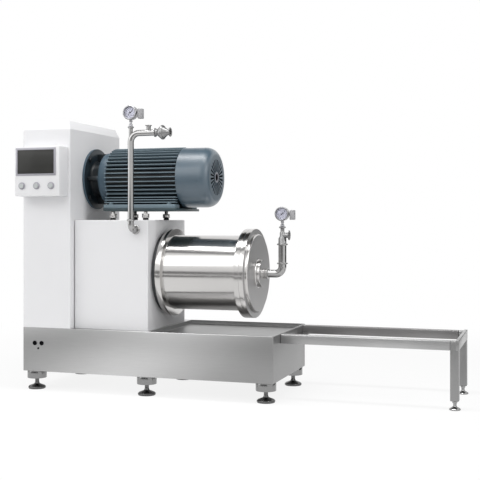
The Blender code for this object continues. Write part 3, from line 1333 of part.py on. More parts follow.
def build_check_valve():
    """Sprung non-return valve: two cones in a clamp, with a poppet and a spring."""
    centre = (0, FEED_Y, FEED_RUN_Z)
    bore = FEED_RADIUS - FEED_WALL
    lip = VALVE_CLAMP_HALF * 0.5
    room = VALVE_BODY_RADIUS - VALVE_WALL
    seat_throat = VALVE_END - VALVE_SEAT_DEPTH
    seat_mouth = seat_throat - VALVE_SEAT_LENGTH
    middle_low = VALVE_MID - SEAT / 2
    middle_high = VALVE_MID + SEAT / 2
    turned("valve_outlet_half", [
        (VALVE_START, 0.006), (VALVE_START, VALVE_FERRULE_RADIUS),
        (VALVE_START + FERRULE, VALVE_FERRULE_RADIUS), (VALVE_START + FERRULE + 0.003, FEED_RADIUS),
        (VALVE_START + 0.014, FEED_RADIUS), (middle_low - 0.014, VALVE_BODY_RADIUS),
        (middle_low - lip, VALVE_BODY_RADIUS), (middle_low - lip, VALVE_CLAMP_RADIUS - 0.003),
        (middle_low, VALVE_CLAMP_RADIUS - 0.003), (middle_low, room),
        (middle_low - 0.012, room), (VALVE_START + 0.016, bore - 0.002), (VALVE_START + 0.006, bore - 0.002),
        (VALVE_START + 0.006, 0.006),
    ], "X", centre, POLISHED, PIPE_SIDES)
    turned("valve_inlet_half", [
        (middle_high, room), (middle_high, VALVE_CLAMP_RADIUS - 0.003),
        (middle_high + lip, VALVE_CLAMP_RADIUS - 0.003), (middle_high + lip, VALVE_BODY_RADIUS),
        (middle_high + 0.014, VALVE_BODY_RADIUS - 0.004), (VALVE_END - 0.018, FEED_RADIUS),
        (VALVE_END - FERRULE - 0.003, FEED_RADIUS), (VALVE_END - FERRULE, VALVE_FERRULE_RADIUS + 0.001),
        (VALVE_END, VALVE_FERRULE_RADIUS + 0.001), (VALVE_END, bore),
        (seat_throat, bore), (seat_mouth, room - 0.006), (middle_high + 0.008, room),
    ], "X", centre, POLISHED, PIPE_SIDES)
    grip = seat_for(VALVE_CLAMP_RADIUS - 0.003, PIPE_SIDES)
    body_grip = seat_for(VALVE_BODY_RADIUS, PIPE_SIDES)
    turned("valve_clamp", [
        (VALVE_MID - VALVE_CLAMP_HALF, body_grip), (VALVE_MID - VALVE_CLAMP_HALF, VALVE_CLAMP_RADIUS - 0.002),
        (VALVE_MID - lip, VALVE_CLAMP_RADIUS + 0.001), (VALVE_MID + lip, VALVE_CLAMP_RADIUS + 0.001),
        (VALVE_MID + VALVE_CLAMP_HALF, VALVE_CLAMP_RADIUS - 0.002), (VALVE_MID + VALVE_CLAMP_HALF, body_grip),
        (VALVE_MID + lip + 2 * SEAT, body_grip), (VALVE_MID + lip + 2 * SEAT, grip),
        (VALVE_MID - lip - 2 * SEAT, grip), (VALVE_MID - lip - 2 * SEAT, body_grip),
    ], "X", centre, POLISHED, PIPE_SIDES)
    seat_slope = (seat_mouth - seat_throat) / (room - 0.006 - bore)
    rim = seat_throat + (POPPET_RADIUS - bore) * seat_slope - POPPET_SEAT_GAP
    turned("valve_poppet", [
        (rim - POPPET_RIM, 0.0), (rim - POPPET_RIM, POPPET_RADIUS), (rim, POPPET_RADIUS),
        (rim + POPPET_NOSE, POPPET_STEM_RADIUS), (rim + POPPET_NOSE, 0.0),
    ], "X", centre, STEEL, PIPE_SIDES)


def build_gauge(name, x, y, z, stem_low):
    """Electric contact gauge: case on its stem, needle, window and contact box."""
    front = -GAUGE_DEPTH / 2
    back = GAUGE_DEPTH / 2
    centre = (x, y, z)
    pocket = GAUGE_RADIUS - GAUGE_BEZEL
    body_radius = GAUGE_RADIUS - GAUGE_STEP
    case = turned(name + "_case", [
        (front, pocket), (front, GAUGE_RADIUS), (front + 0.012, GAUGE_RADIUS),
        (front + 0.012, body_radius), (back - GAUGE_BACK_TAPER, body_radius),
        (back, body_radius - GAUGE_BACK_TAPER),
        (back, 0.0), (front + GAUGE_POCKET, 0.0), (front + GAUGE_POCKET, pocket),
    ], "Y", centre, POLISHED, ROUND_SIDES)
    fitted = pocket - SEAT
    glass = front + 0.001
    rod(name + "_window", "Y", centre, glass, glass + WINDOW_THICKNESS, fitted, CLEAR, ROUND_SIDES)
    needle_back = front + GAUGE_POCKET - RUN
    outline = [(NEEDLE_LENGTH, 0.0006)]
    outline += ring_points(NEEDLE_HUB, 5, math.radians(20), math.radians(160))
    outline += [(-NEEDLE_TAIL, 0.0016), (-NEEDLE_TAIL, -0.0016)]
    outline += ring_points(NEEDLE_HUB, 5, math.radians(200), math.radians(340))
    outline += [(NEEDLE_LENGTH, -0.0006)]
    lean = math.radians(NEEDLE_ANGLE)
    pointer = [
        (px * math.cos(lean) - pz * math.sin(lean), px * math.sin(lean) + pz * math.cos(lean))
        for px, pz in outline
    ]
    plate(name + "_needle", "Y", centre, needle_back - NEEDLE_THICKNESS, needle_back, [pointer], BLACK)
    stem_top = -GAUGE_RADIUS + 0.006
    low = stem_low - z
    join(case, turned(name + "_stem", [
        (low, 0.0), (low, BRANCH_FERRULE_RADIUS), (low + FERRULE, BRANCH_FERRULE_RADIUS),
        (low + FERRULE + 0.002, STUB_RADIUS), (low + 0.016, STUB_RADIUS),
        (stem_top - 0.016, STEM_TOP_RADIUS), (stem_top, STEM_TOP_RADIUS), (stem_top, 0.0),
    ], "Z", centre, POLISHED, SMALL_SIDES))
    near = x + body_radius + SEAT
    body = box(
        name + "_contact_box",
        (near + CONTACT_NECK, y - CONTACT_DEPTH / 2 + 0.006, z - CONTACT_DOWN),
        (near + CONTACT_NECK + CONTACT_WIDTH, y + CONTACT_DEPTH / 2 + 0.006, z + CONTACT_UP),
        SILVER,
        0.003,
        1,
    )
    join(body, box(
        name + "_contact_neck",
        (near, y - 0.008, z - 0.010),
        (near + CONTACT_NECK + CONTACT_STEP, y + 0.012, z + 0.010),
        SILVER,
    ))


def build_stand():
    """Two rails, two cross bars, two legs and their feet."""
    low = STAND_TOP - STAND_TUBE_HEIGHT
    bar = STAND_TUBE_WIDTH
    rail_start = STAND_START + bar + SEAT
    rail_end = STAND_END - bar - SEAT
    for name, y in (("stand_rail_front", STAND_FRONT), ("stand_rail_back", STAND_BACK - bar)):
        box(name, (rail_start, y, low), (rail_end, y + bar, STAND_TOP), STEEL, STAND_EDGE, 1)
    box("stand_near_bar", (STAND_START, STAND_FRONT, low), (STAND_START + bar, STAND_BACK, STAND_TOP),
        STEEL, STAND_EDGE, 1)
    top = STAND_TOP + STAND_BAR_RISE
    frame = box("stand_end_frame", (STAND_END - bar, STAND_FRONT, low), (STAND_END, STAND_BACK, top), STEEL)
    x = STAND_END - bar / 2
    hole = seat_for(STAND_FOOT_STEM, SMALL_SIDES)
    stem_top = STAND_LEG_BOTTOM + STAND_FOOT_ENTRY
    for name, y in (("stand_foot_front", STAND_FRONT + bar / 2), ("stand_foot_back", STAND_BACK - bar / 2)):
        join(frame, box(
            "leg",
            (x - bar / 2, y - bar / 2, STAND_LEG_BOTTOM),
            (x + bar / 2, y + bar / 2, low + bar / 2),
            STEEL,
        ))
        cut(frame, rod("stem_hole", "Z", (x, y, 0), STAND_LEG_BOTTOM - 0.02, stem_top + SEAT, hole, STEEL,
                       SMALL_SIDES))
        turned(name, [
            (stem_top, 0.0), (stem_top, STAND_FOOT_STEM), (0.026, STAND_FOOT_STEM), (0.020, 0.016),
            (STAND_FOOT_PAD, STAND_FOOT_RADIUS - 0.004), (STAND_FOOT_PAD - 0.004, STAND_FOOT_RADIUS),
            (0.0, STAND_FOOT_RADIUS), (0.0, 0.0),
        ], "Z", (x, y, 0), POLISHED, SMALL_SIDES)


def main():
    """Build the whole machine."""
    build_base()
    build_column()
    build_control_box()
    build_motor()
    build_belt_drive()
    build_drive_housing()
    build_agitator()
    build_chamber()
    build_discharge_line()
    build_feed_line()
    build_stand()


main()
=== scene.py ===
"""Dresses the bead mill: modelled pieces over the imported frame, procedural finishes and a studio."""

import math

import bmesh
import bpy
from bpy.props import FloatProperty, FloatVectorProperty, IntProperty, PointerProperty
from bpy.types import Operator, Panel, PropertyGroup
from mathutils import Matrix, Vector


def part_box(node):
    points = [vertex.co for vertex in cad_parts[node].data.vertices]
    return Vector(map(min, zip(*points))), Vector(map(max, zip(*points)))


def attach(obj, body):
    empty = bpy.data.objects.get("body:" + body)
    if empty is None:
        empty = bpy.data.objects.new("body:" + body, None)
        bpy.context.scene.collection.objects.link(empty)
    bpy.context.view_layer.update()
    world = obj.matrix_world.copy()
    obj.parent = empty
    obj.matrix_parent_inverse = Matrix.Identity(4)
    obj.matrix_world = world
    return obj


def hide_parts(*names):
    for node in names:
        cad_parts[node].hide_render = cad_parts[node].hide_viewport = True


bl_info = {
    "name": "Bead mill",
    "version": (1, 0, 0),
    "blender": (4, 5, 0),
    "location": "View3D > Sidebar > Bead mill",
    "description": "Models the mill's visible pieces over its frame, with finishes and a studio",
    "category": "Object",
}

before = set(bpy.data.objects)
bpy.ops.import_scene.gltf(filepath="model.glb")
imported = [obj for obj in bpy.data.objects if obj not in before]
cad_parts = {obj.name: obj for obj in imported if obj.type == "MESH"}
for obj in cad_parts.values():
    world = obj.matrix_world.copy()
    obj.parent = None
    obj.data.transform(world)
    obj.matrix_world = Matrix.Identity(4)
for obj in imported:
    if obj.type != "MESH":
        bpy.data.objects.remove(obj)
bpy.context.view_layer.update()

# Sides of round pieces, from a nut to the chamber's rings
HEXAGON = 6
SCREW_SIDES = 24
BOLT_SIDES = 32
PIPE_SIDES = 48
FITTING_SIDES = 64
BARREL_SIDES = 96
RING_SIDES = 128

# Sizes that many pieces share, in metres
FINE_EDGE = 0.0006
WELD = 0.00001
SEAT = 0.0003
CONTACT = 0.0002
CUT_REACH = 0.03
SHAFT_WAY = 0.064
SHIELD_SPIGOT = 0.005
FEED_PORT = 0.030

# Clamp joints: thickness of a rim, and length of a rim with its cone
RIM = 0.0032
FEED_CONE = 0.0065
DISCHARGE_CONE = 0.0068
STUB_CONE = 0.0075
STUB = 0.012
STUB_RIM = 0.019
BRANCH_RIM = 0.021

BEND_STEPS = 14
FOLD_ANGLE = math.radians(30)
SMOOTH_ANGLE = math.radians(35)
TURN = {
    "X": (0.0, math.pi / 2, 0.0),
    "Y": (-math.pi / 2, 0.0, 0.0),
    "Z": (0.0, 0.0, 0.0),
}


def low(node):
    """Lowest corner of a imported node."""
    return Vector(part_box(node)[0])


def high(node):
    """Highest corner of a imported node."""
    return Vector(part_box(node)[1])


def middle(node):
    """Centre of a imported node's box."""
    return (low(node) + high(node)) / 2


def length(name, default, about):
    """Length property in metres."""
    return FloatProperty(name=name, default=default, unit="LENGTH", min=0.0, description=about)


def paint(name, default, about):
    """Linear colour property."""
    return FloatVectorProperty(name=name, default=default, subtype="COLOR", size=3, min=0.0, max=1.0,
                               description=about)


class StudioSizes(PropertyGroup):
    """Camera and studio levels."""

    place: FloatVectorProperty(name="Camera place", default=(1.85365, -5.63525, 1.0801),
                               subtype="TRANSLATION", description="Where the camera stands")
    azimuth: FloatProperty(name="Camera azimuth", default=18.222,
                           description="Degrees the camera turns to its left")
    lens: FloatProperty(name="Lens", default=70.49, description="Focal length in millimetres")
    shift: FloatProperty(name="Lens shift", default=-0.0384, description="Upright shift of the lens")
    ambient: FloatProperty(name="Ambient", default=0.64, description="Level of the world's even light")
    floor_glow: FloatProperty(name="Floor glow", default=0.84,
                              description="Share of the near floor that shows white")
    floor_near: length("Near floor", 1.6, "Radius within which the floor keeps its shadow")
    floor_far: length("Far floor", 4.5, "Radius beyond which the floor is plain white")


class CabinetSizes(PropertyGroup):
    """Sheet cabinets, base and stand."""

    base_underside: length("Base underside", 0.120, "Height of the base box over the ground")
    cover_edge: length("Cover edge", 0.004, "Rounding of the painted covers")
    base_edge: length("Base edge", 0.003, "Rounding of the base's folded edges")
    control_edge: length("Control box edge", 0.006, "Rounding of the control box")
    tray_wall: length("Tray wall", 0.0025, "Thickness of the drip tray's walls")
    sheet: length("Cover sheet", 0.004, "Thickness of the column's sheet")
    housing_sheet: length("Housing sheet", 0.008, "Thickness of the drive housing's sheet")
    tray_floor: length("Tray floor", 0.004, "Thickness of the drip tray's floor")
    taper: length("Head taper", 0.022, "How far the column's head slopes in")
    head: length("Head height", 0.056, "Height of the column's sloped head")
    tube_edge: length("Tube edge", 0.0045, "Rounding of the stand's square tube")
    angle_leaf: length("Angle leaf", 0.004, "Thickness of the angle bar next to the base")
    end_bar: length("End bar", 0.019, "Thickness of the bar across the stand's end")


class FootSizes(PropertyGroup):
    """Levelling feet."""

    inset: length("Foot inset", 0.064, "Foot centre from the base's edges")
    sleeve: length("Sleeve radius", 0.062, "Radius of the welded sleeve")
    sleeve_drop: length("Sleeve height", 0.050, "Sleeve below the base")
    stem: length("Stem radius", 0.016, "Radius of the levelling screw")
    pad: length("Pad radius", 0.056, "Radius of the foot pad")
    pad_edge: length("Pad edge", 0.012, "Thickness at the pad's rim")
    pad_height: length("Pad height", 0.030, "Height of the pad's dome")


class ChamberSizes(PropertyGroup):
    """Grinding chamber and its end cover."""

    flange: length("Flange radius", 0.2815, "Radius of both flanges")
    jacket: length("Jacket radius", 0.2387, "Radius of the jacket")
    bore: length("Bore radius", 0.180, "Radius of the grinding room")
    rear_flange: length("Rear flange", 0.036, "Thickness of the rear flange")
    front_flange: length("Front flange", 0.033, "Thickness of the front flange")
    cover_flange: length("Cover flange", 0.029, "Thickness of the cover's outer flange")
    spigot: length("Cover spigot", 0.010, "Depth of the cover's spigot")
    disc: length("Cover disc radius", 0.2475, "Radius of the raised disc")
    disc_height: length("Cover disc height", 0.018, "Height of the raised disc")
    disc_edge: length("Disc chamfer", 0.006, "Bright chamfer of the raised disc")
    hub: length("Hub radius", 0.0865, "Radius of the hub")
    hub_height: length("Hub height", 0.026, "Height of the hub")
    nipple: length("Nipple radius", 0.0315, "Radius of the outlet nipple")


class MotorSizes(PropertyGroup):
    """Motor, its cowl and its foot plate."""

    flange: length("Flange radius", 0.200, "Radius of the mounting flange")
    neck: length("Neck radius", 0.113, "Radius of the neck behind the flange")
    bell: length("Bell radius", 0.170, "Radius of the end shield")
    fin_root: length("Fin root", 0.163, "Radius of the frame between the fins")
    fin_tip: length("Fin tip", 0.198, "Radius over the fins")
    fins: IntProperty(name="Fins", default=44, min=8, description="Fins round the whole frame")
    fin_width: length("Fin width", 0.0085, "Thickness of a fin at its tip")
    fin_foot: length("Fin foot", 0.010, "Thickness of a fin at its root")
    cowl: length("Cowl radius", 0.194, "Radius of the fan cowl")
    cowl_round: length("Cowl rounding", 0.068, "Length of the cowl's rounded end")
    cowl_drop: length("Cowl drop", 0.052, "How far the rounded end draws in")
    cowl_reach: length("Cowl reach", 0.009, "How far the pressed end bulges past the packed one")
    slots: IntProperty(name="Grille slots", default=24, min=6, description="Slots in the cowl's end")
    slot_inner: length("Slot start", 0.038, "Inner radius of the slots")
    slot_outer: length("Slot end", 0.115, "Outer radius of the slots")
    slot_width: length("Slot width", 0.0145, "Width of a slot at its outer end")
    hole: length("Cowl hole", 0.025, "Radius of the cowl's centre hole")


class PipeSizes(PropertyGroup):
    """Sanitary pipework and its fittings."""

    feed: length("Feed tube", 0.019, "Radius of the feed tube")
    discharge: length("Discharge tube", 0.025, "Radius of the discharge tube")
    feed_ferrule: length("Feed ferrule", 0.0252, "Radius of the feed tube's ferrules")
    discharge_ferrule: length("Discharge ferrule", 0.034, "Radius of the discharge tube's ferrules")
    feed_bend: length("Feed bend", 0.055, "Bend radius at the top of the feed riser")
    elbow_bend: length("Elbow bend", 0.035, "Bend radius of the feed elbow")
    discharge_bend: length("Discharge bend", 0.045, "Bend radius of the discharge elbow")
    gauge: length("Gauge radius", 0.0445, "Radius of a gauge's bezel")
    bezel: length("Bezel width", 0.0085, "Width of the gauge's bezel ring")


class FinishColours(PropertyGroup):
    """Colours of the finishes."""

    white: paint("Powder coat", (0.75, 0.75, 0.762), "Painted cabinets")
    blue: paint("Motor paint", (0.047, 0.084, 0.116), "Blue-grey motor paint")
    steel: paint("Brushed steel", (0.40, 0.40, 0.40), "Brushed stainless sheet")
    polished: paint("Polished steel", (0.60, 0.59, 0.58), "Polished stainless pieces")
    tube: paint("Tube steel", (0.41, 0.408, 0.405), "Polished sanitary tube")
    satin: paint("Satin steel", (0.53, 0.525, 0.525), "Turned faces with a satin finish")
    screen: paint("Screen", (0.042, 0.042, 0.040), "Dark screen glass")
    silver: paint("Silver plastic", (0.34, 0.335, 0.37), "Screen frame")
    button: paint("Button", (0.46, 0.48, 0.48), "Push buttons")


SETS = {
    "mill_studio": StudioSizes,
    "mill_cabinet": CabinetSizes,
    "mill_feet": FootSizes,
    "mill_chamber": ChamberSizes,
    "mill_motor": MotorSizes,
    "mill_pipes": PipeSizes,
    "mill_colours": FinishColours,
}


# Modelling helpers


def clear_selection():
    """Leave edit mode with nothing selected."""
    if bpy.context.object and bpy.context.object.mode != "OBJECT":
        bpy.ops.object.mode_set(mode="OBJECT")
    bpy.ops.object.select_all(action="DESELECT")


def pick(*things):
    """Select some objects, the first of them active."""
    clear_selection()
    for thing in things:
        thing.select_set(True)
    bpy.context.view_layer.objects.active = things[0]


def renamed(piece, name):
    """Name a piece and its mesh."""
    piece.name = name
    piece.data.name = name
    return piece


def settle(piece, name):
    """Name a piece and bring its origin to the frame's origin."""
    pick(piece)
    bpy.ops.object.transform_apply(location=True, rotation=True, scale=True)
    return renamed(piece, name)


def modify(piece, kind, **settings):
    """Add a modifier with its settings and apply it."""
    pick(piece)
    step = piece.modifiers.new("step", kind)
    for field, value in settings.items():
        setattr(step, field, value)
    bpy.ops.object.modifier_apply(modifier=step.name)


def smooth(piece):
    """Shade a piece smooth but for its sharp edges."""
    pick(piece)
    bpy.ops.object.shade_smooth_by_angle(angle=SMOOTH_ANGLE)
    return piece


def soften(piece, width, segments=2):
    """Round a piece's sharp edges and shade it smooth."""
    if width:
        modify(piece, "BEVEL", width=width, segments=segments, limit_method="ANGLE", angle_limit=FOLD_ANGLE,
               use_clamp_overlap=True)
    return smooth(piece)


def edit_all(piece):
    """Open a piece in edit mode with all of it selected."""
    pick(piece)
    bpy.ops.object.mode_set(mode="EDIT")
    bpy.ops.mesh.select_mode(type="VERT")
    bpy.ops.mesh.select_all(action="SELECT")


def edit_faces(piece, way):
    """Open a piece in edit mode with the faces selected that look one way."""
    pick(piece)
    bpy.ops.object.mode_set(mode="EDIT")
    bpy.ops.mesh.select_mode(type="FACE")
    bpy.ops.mesh.select_all(action="DESELECT")
    shape = bmesh.from_edit_mesh(piece.data)
    for face in shape.faces:
        if face.normal.dot(Vector(way)) > 0.5:
            face.select_set(True)
    bmesh.update_edit_mesh(piece.data)


def leave_edit():
    """Go back to object mode."""
    bpy.ops.object.mode_set(mode="OBJECT")


def extrude(way):
    """Extrude what is selected along a way."""
    bpy.ops.mesh.extrude_region_move(TRANSFORM_OT_translate={"value": way})


def close_shell():
    """Weld the edited piece's doubles, turn its faces outwards and leave edit mode."""
    bpy.ops.mesh.select_all(action="SELECT")
    bpy.ops.mesh.remove_doubles(threshold=WELD)
    bpy.ops.mesh.normals_make_consistent(inside=False)
    leave_edit()


def swing(piece, axis, angle, centre):
    """Turn a piece's mesh by an angle about an axis through a point."""
    edit_all(piece)
    bpy.ops.transform.rotate(value=angle, orient_axis=axis, center_override=centre)
    leave_edit()
    return piece


def block(name, corner_a, corner_b, edge=0.0, segments=2):
    """Box between two corners with rounded edges."""
    clear_selection()
    corner_a = Vector(corner_a)
    corner_b = Vector(corner_b)
    bpy.ops.mesh.primitive_cube_add(size=1.0, location=(corner_a + corner_b) / 2)
    piece = bpy.context.object
    piece.scale = corner_b - corner_a
    return soften(settle(piece, name), edge, segments)


def turned(name, axis, centre, outline, edge=FINE_EDGE, sides=FITTING_SIDES, hollow=False, segments=2):
    """Turned piece: a circle extruded and resized along (distance, radius) steps, then laid on its axis."""
    clear_selection()
    along, radius = outline[0]
    fill = "NOTHING" if hollow else "NGON"
    bpy.ops.mesh.primitive_circle_add(vertices=sides, radius=radius, fill_type=fill, location=(0, 0, along))
    piece = bpy.context.object
    bpy.ops.object.transform_apply(location=True)
    edit_all(piece)
    steps = outline[1:] + (outline[:1] if hollow else [])
    for distance, width in steps:
        extrude((0, 0, distance - along))
        if abs(width - radius) > 1e-7:
            grow = width / radius
            bpy.ops.transform.resize(value=(grow, grow, 1), center_override=(0, 0, distance))
        along, radius = distance, width
    close_shell()
    piece.rotation_euler = TURN[axis]
    piece.location = centre
    return soften(settle(piece, name), edge, segments)


def ring(name, axis, centre, outline, edge=FINE_EDGE, sides=FITTING_SIDES, segments=2):
    """Turned piece whose outline closes round a bore."""
    return turned(name, axis, centre, outline, edge, sides, hollow=True, segments=segments)


def bent_tube(name, corners, bend, radius):
    """Tube through square corners: a circle extruded along the straights and spun round the bends."""
    clear_selection()
    corners = [Vector(corner) for corner in corners]
    ways = [(b - a).normalized() for a, b in zip(corners, corners[1:])]
    turn = Vector((0, 0, 1)).rotation_difference(ways[0]).to_euler()
    bpy.ops.mesh.primitive_circle_add(vertices=PIPE_SIDES, radius=radius, fill_type="NGON",
                                      location=corners[0], rotation=turn)
    piece = bpy.context.object
    bpy.ops.object.transform_apply(location=True, rotation=True, scale=True)
    edit_all(piece)
    place = corners[0]
    for number, way in enumerate(ways):
        last = number == len(ways) - 1
        end = corners[number + 1] if last else corners[number + 1] - way * bend
        extrude(end - place)
        place = end
        if last:
            continue
        after = ways[number + 1]
        centre = place + after * bend
        bpy.ops.mesh.spin(steps=BEND_STEPS, angle=math.pi / 2, center=centre, axis=after.cross(way))
        place = corners[number + 1] + after * bend
    close_shell()
    return smooth(settle(piece, name))


def merged(name, pieces):
    """Join several pieces into one."""
    pick(*pieces)
    if len(pieces) > 1:
        bpy.ops.object.join()
    return renamed(bpy.context.object, name)


def carve(piece, *tools):
    """Cut tools out of a piece and delete them."""
    for tool in tools:
        modify(piece, "BOOLEAN", operation="DIFFERENCE", solver="EXACT", object=tool)
        bpy.data.objects.remove(tool, do_unlink=True)
    return piece


def bore(axis, centre, radius, sides=FITTING_SIDES):
    """Round cutter through a sheet."""
    return turned("bore", axis, centre, [(-CUT_REACH, radius), (CUT_REACH, radius)], 0.0, sides)


def hex_bolt(name, axis, place, across, head):
    """Hexagon head on a washer, standing along +axis from its place."""
    washer = across * 1.25
    step = 0.0025
    disc = turned(name, axis, place, [(0, washer), (step, washer)], 0.0004, BOLT_SIDES)
    nut = turned("nut", axis, place, [
        (step, across), (step + head * 0.86, across), (step + head, across * 0.9),
    ], 0.0003, HEXAGON)
    pick(nut)
    bpy.ops.object.shade_flat()
    return merged(name, [disc, nut])


def screws(name, axis, places, radius, proud, side=1):
    """Pan heads standing out along an axis."""
    return merged(name, [
        turned("head", axis, place, [
            (0, radius), (side * proud * 0.55, radius), (side * proud, radius * 0.7),
        ], 0.0003, SCREW_SIDES)
        for place in places
    ])


def fit(piece, body, kind, *nodes):
    """Give a piece its finish and body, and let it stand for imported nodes."""
    piece.data.materials.clear()
    piece.data.materials.append(finish(kind))
    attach(piece, body)
    if nodes:
        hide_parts(*nodes)
    return piece


# Finishes


def added(nodes, kind, values=None, **settings):
    """New shader node with its settings and input values."""
    made = nodes.new("ShaderNode" + kind)
    for field, value in settings.items():
        setattr(made, field, value)
    for label, value in (values or {}).items():
        made.inputs[label].default_value = value
    return made


def socket_group(name, inputs, outputs):
    """Empty shader node group with its sockets, group input and group output."""
    group = bpy.data.node_groups.new(name, "ShaderNodeTree")
    for label, kind, value in inputs:
        socket = group.interface.new_socket(name=label, in_out="INPUT", socket_type=kind)
        if value is not None:
            socket.default_value = value
    for label, kind in outputs:
        group.interface.new_socket(name=label, in_out="OUTPUT", socket_type=kind)
    return group, group.nodes.new("NodeGroupInput"), group.nodes.new("NodeGroupOutput")


def grain_group():
    """Directional grain: stretched noise as a mask and a fine height."""
    if "Grain" in bpy.data.node_groups:
        return bpy.data.node_groups["Grain"]
    group, given, out = socket_group("Grain", [
        ("Vector", "NodeSocketVector", None),
        ("Stretch", "NodeSocketVector", (1.0, 1.0, 1.0)),
        ("Scale", "NodeSocketFloat", 300.0),
        ("Cloud Scale", "NodeSocketFloat", 2.0),
        ("Cloud Stretch", "NodeSocketVector", (1.0, 1.0, 1.0)),
    ], [("Grain", "NodeSocketFloat"), ("Clouds", "NodeSocketFloat")])
    stretch = added(group.nodes, "VectorMath", operation="MULTIPLY")
    fine = added(group.nodes, "TexNoise", {"Detail": 4.0, "Roughness": 0.65})
    drawn = added(group.nodes, "VectorMath", operation="MULTIPLY")
    clouds = added(group.nodes, "TexNoise", {"Detail": 1.5})
    link = group.links.new
    link(given.outputs["Vector"], drawn.inputs[0])
    link(given.outputs["Cloud Stretch"], drawn.inputs[1])
    link(given.outputs["Vector"], stretch.inputs[0])
    link(given.outputs["Stretch"], stretch.inputs[1])
    link(stretch.outputs[0], fine.inputs["Vector"])
    link(given.outputs["Scale"], fine.inputs["Scale"])
    link(drawn.outputs[0], clouds.inputs["Vector"])
    link(given.outputs["Cloud Scale"], clouds.inputs["Scale"])
    link(fine.outputs["Fac"], out.inputs["Grain"])
    link(clouds.outputs["Fac"], out.inputs["Clouds"])
    return group


def tone_group():
    """Colour and roughness between two tones, by a mask of grain and clouds."""
    if "Tone" in bpy.data.node_groups:
        return bpy.data.node_groups["Tone"]
    group, given, out = socket_group("Tone", [
        ("Grain", "NodeSocketFloat", 0.5),
        ("Clouds", "NodeSocketFloat", 0.5),
        ("Light", "NodeSocketColor", (1.0, 1.0, 1.0, 1.0)),
        ("Dark", "NodeSocketColor", (0.5, 0.5, 0.5, 1.0)),
        ("Grain Amount", "NodeSocketFloat", 0.5),
        ("Rough Low", "NodeSocketFloat", 0.3),
        ("Rough High", "NodeSocketFloat", 0.4),
    ], [("Color", "NodeSocketColor"), ("Roughness", "NodeSocketFloat")])
    blend = added(group.nodes, "Mix", data_type="FLOAT")
    spread = added(group.nodes, "MapRange", {"From Min": 0.3, "From Max": 0.7})
    tones = added(group.nodes, "Mix", data_type="RGBA")
    rough = added(group.nodes, "MapRange")
    link = group.links.new
    link(given.outputs["Grain Amount"], blend.inputs["Factor"])
    link(given.outputs["Clouds"], blend.inputs[2])
    link(given.outputs["Grain"], blend.inputs[3])
    link(blend.outputs[0], spread.inputs["Value"])
    link(spread.outputs["Result"], tones.inputs["Factor"])
    link(given.outputs["Dark"], tones.inputs[6])
    link(given.outputs["Light"], tones.inputs[7])
    link(spread.outputs["Result"], rough.inputs["Value"])
    link(given.outputs["Rough High"], rough.inputs["To Min"])
    link(given.outputs["Rough Low"], rough.inputs["To Max"])
    link(tones.outputs[2], out.inputs["Color"])
    link(rough.outputs["Result"], out.inputs["Roughness"])
    return group


def shade(colour, factor):
    """Linear colour made lighter or darker, as four numbers."""
    return (*[min(1.0, part * factor) for part in colour], 1.0)


def surface(name, colour, rough, metallic=0.0, contrast=0.06, stretch=(1, 1, 1), scale=300.0, cloud=2.0,
            grain=0.5, bump=0.0, coat=0.0, drawn=(1, 1, 1)):
    """Procedural finish of grain, clouds and a fine bump on Object coordinates."""
    if name in bpy.data.materials:
        return bpy.data.materials[name]
    made = bpy.data.materials.new(name)
    made.use_nodes = True
    nodes = made.node_tree.nodes
    link = made.node_tree.links.new
    body = nodes["Principled BSDF"]
    place = added(nodes, "TexCoord")
    texture = added(nodes, "Group", node_tree=grain_group())
    texture.inputs["Stretch"].default_value = stretch
    texture.inputs["Scale"].default_value = scale
    texture.inputs["Cloud Scale"].default_value = cloud
    texture.inputs["Cloud Stretch"].default_value = drawn
    tone = added(nodes, "Group", node_tree=tone_group())
    tone.inputs["Light"].default_value = shade(colour, 1 + contrast)
    tone.inputs["Dark"].default_value = shade(colour, 1 - contrast)
    tone.inputs["Grain Amount"].default_value = grain
    tone.inputs["Rough Low"].default_value = rough[0]
    tone.inputs["Rough High"].default_value = rough[1]
    link(place.outputs["Object"], texture.inputs["Vector"])
    link(texture.outputs["Grain"], tone.inputs["Grain"])
    link(texture.outputs["Clouds"], tone.inputs["Clouds"])
    link(tone.outputs["Color"], body.inputs["Base Color"])
    link(tone.outputs["Roughness"], body.inputs["Roughness"])
    body.inputs["Metallic"].default_value = metallic
    body.inputs["Coat Weight"].default_value = coat
    body.inputs["Coat Roughness"].default_value = 0.42
    body.inputs["Coat IOR"].default_value = 1.6
    if bump:
        relief = added(nodes, "Bump", {"Strength": 1.0, "Distance": bump})
        link(texture.outputs["Grain"], relief.inputs["Height"])
        link(relief.outputs["Normal"], body.inputs["Normal"])
    return made


def lay_over(made, mixed, socket):
    """Lead a material's colour through a mix node on its way to the shader."""
    link = made.node_tree.links.new
    colour = made.node_tree.nodes["Principled BSDF"].inputs["Base Color"]
    link(colour.links[0].from_socket, mixed.inputs[socket])
    link(mixed.outputs[2], colour)


def ramp(nodes, link, value, start, end, rising=True):
    """Smooth step of a value between two places."""
    levels = (0.0, 1.0) if rising else (1.0, 0.0)
    reach = {"From Min": start, "From Max": end, "To Min": levels[0], "To Max": levels[1]}
    step = added(nodes, "MapRange", reach, interpolation_type="SMOOTHSTEP")
    link(value, step.inputs["Value"])
    return step.outputs["Result"]


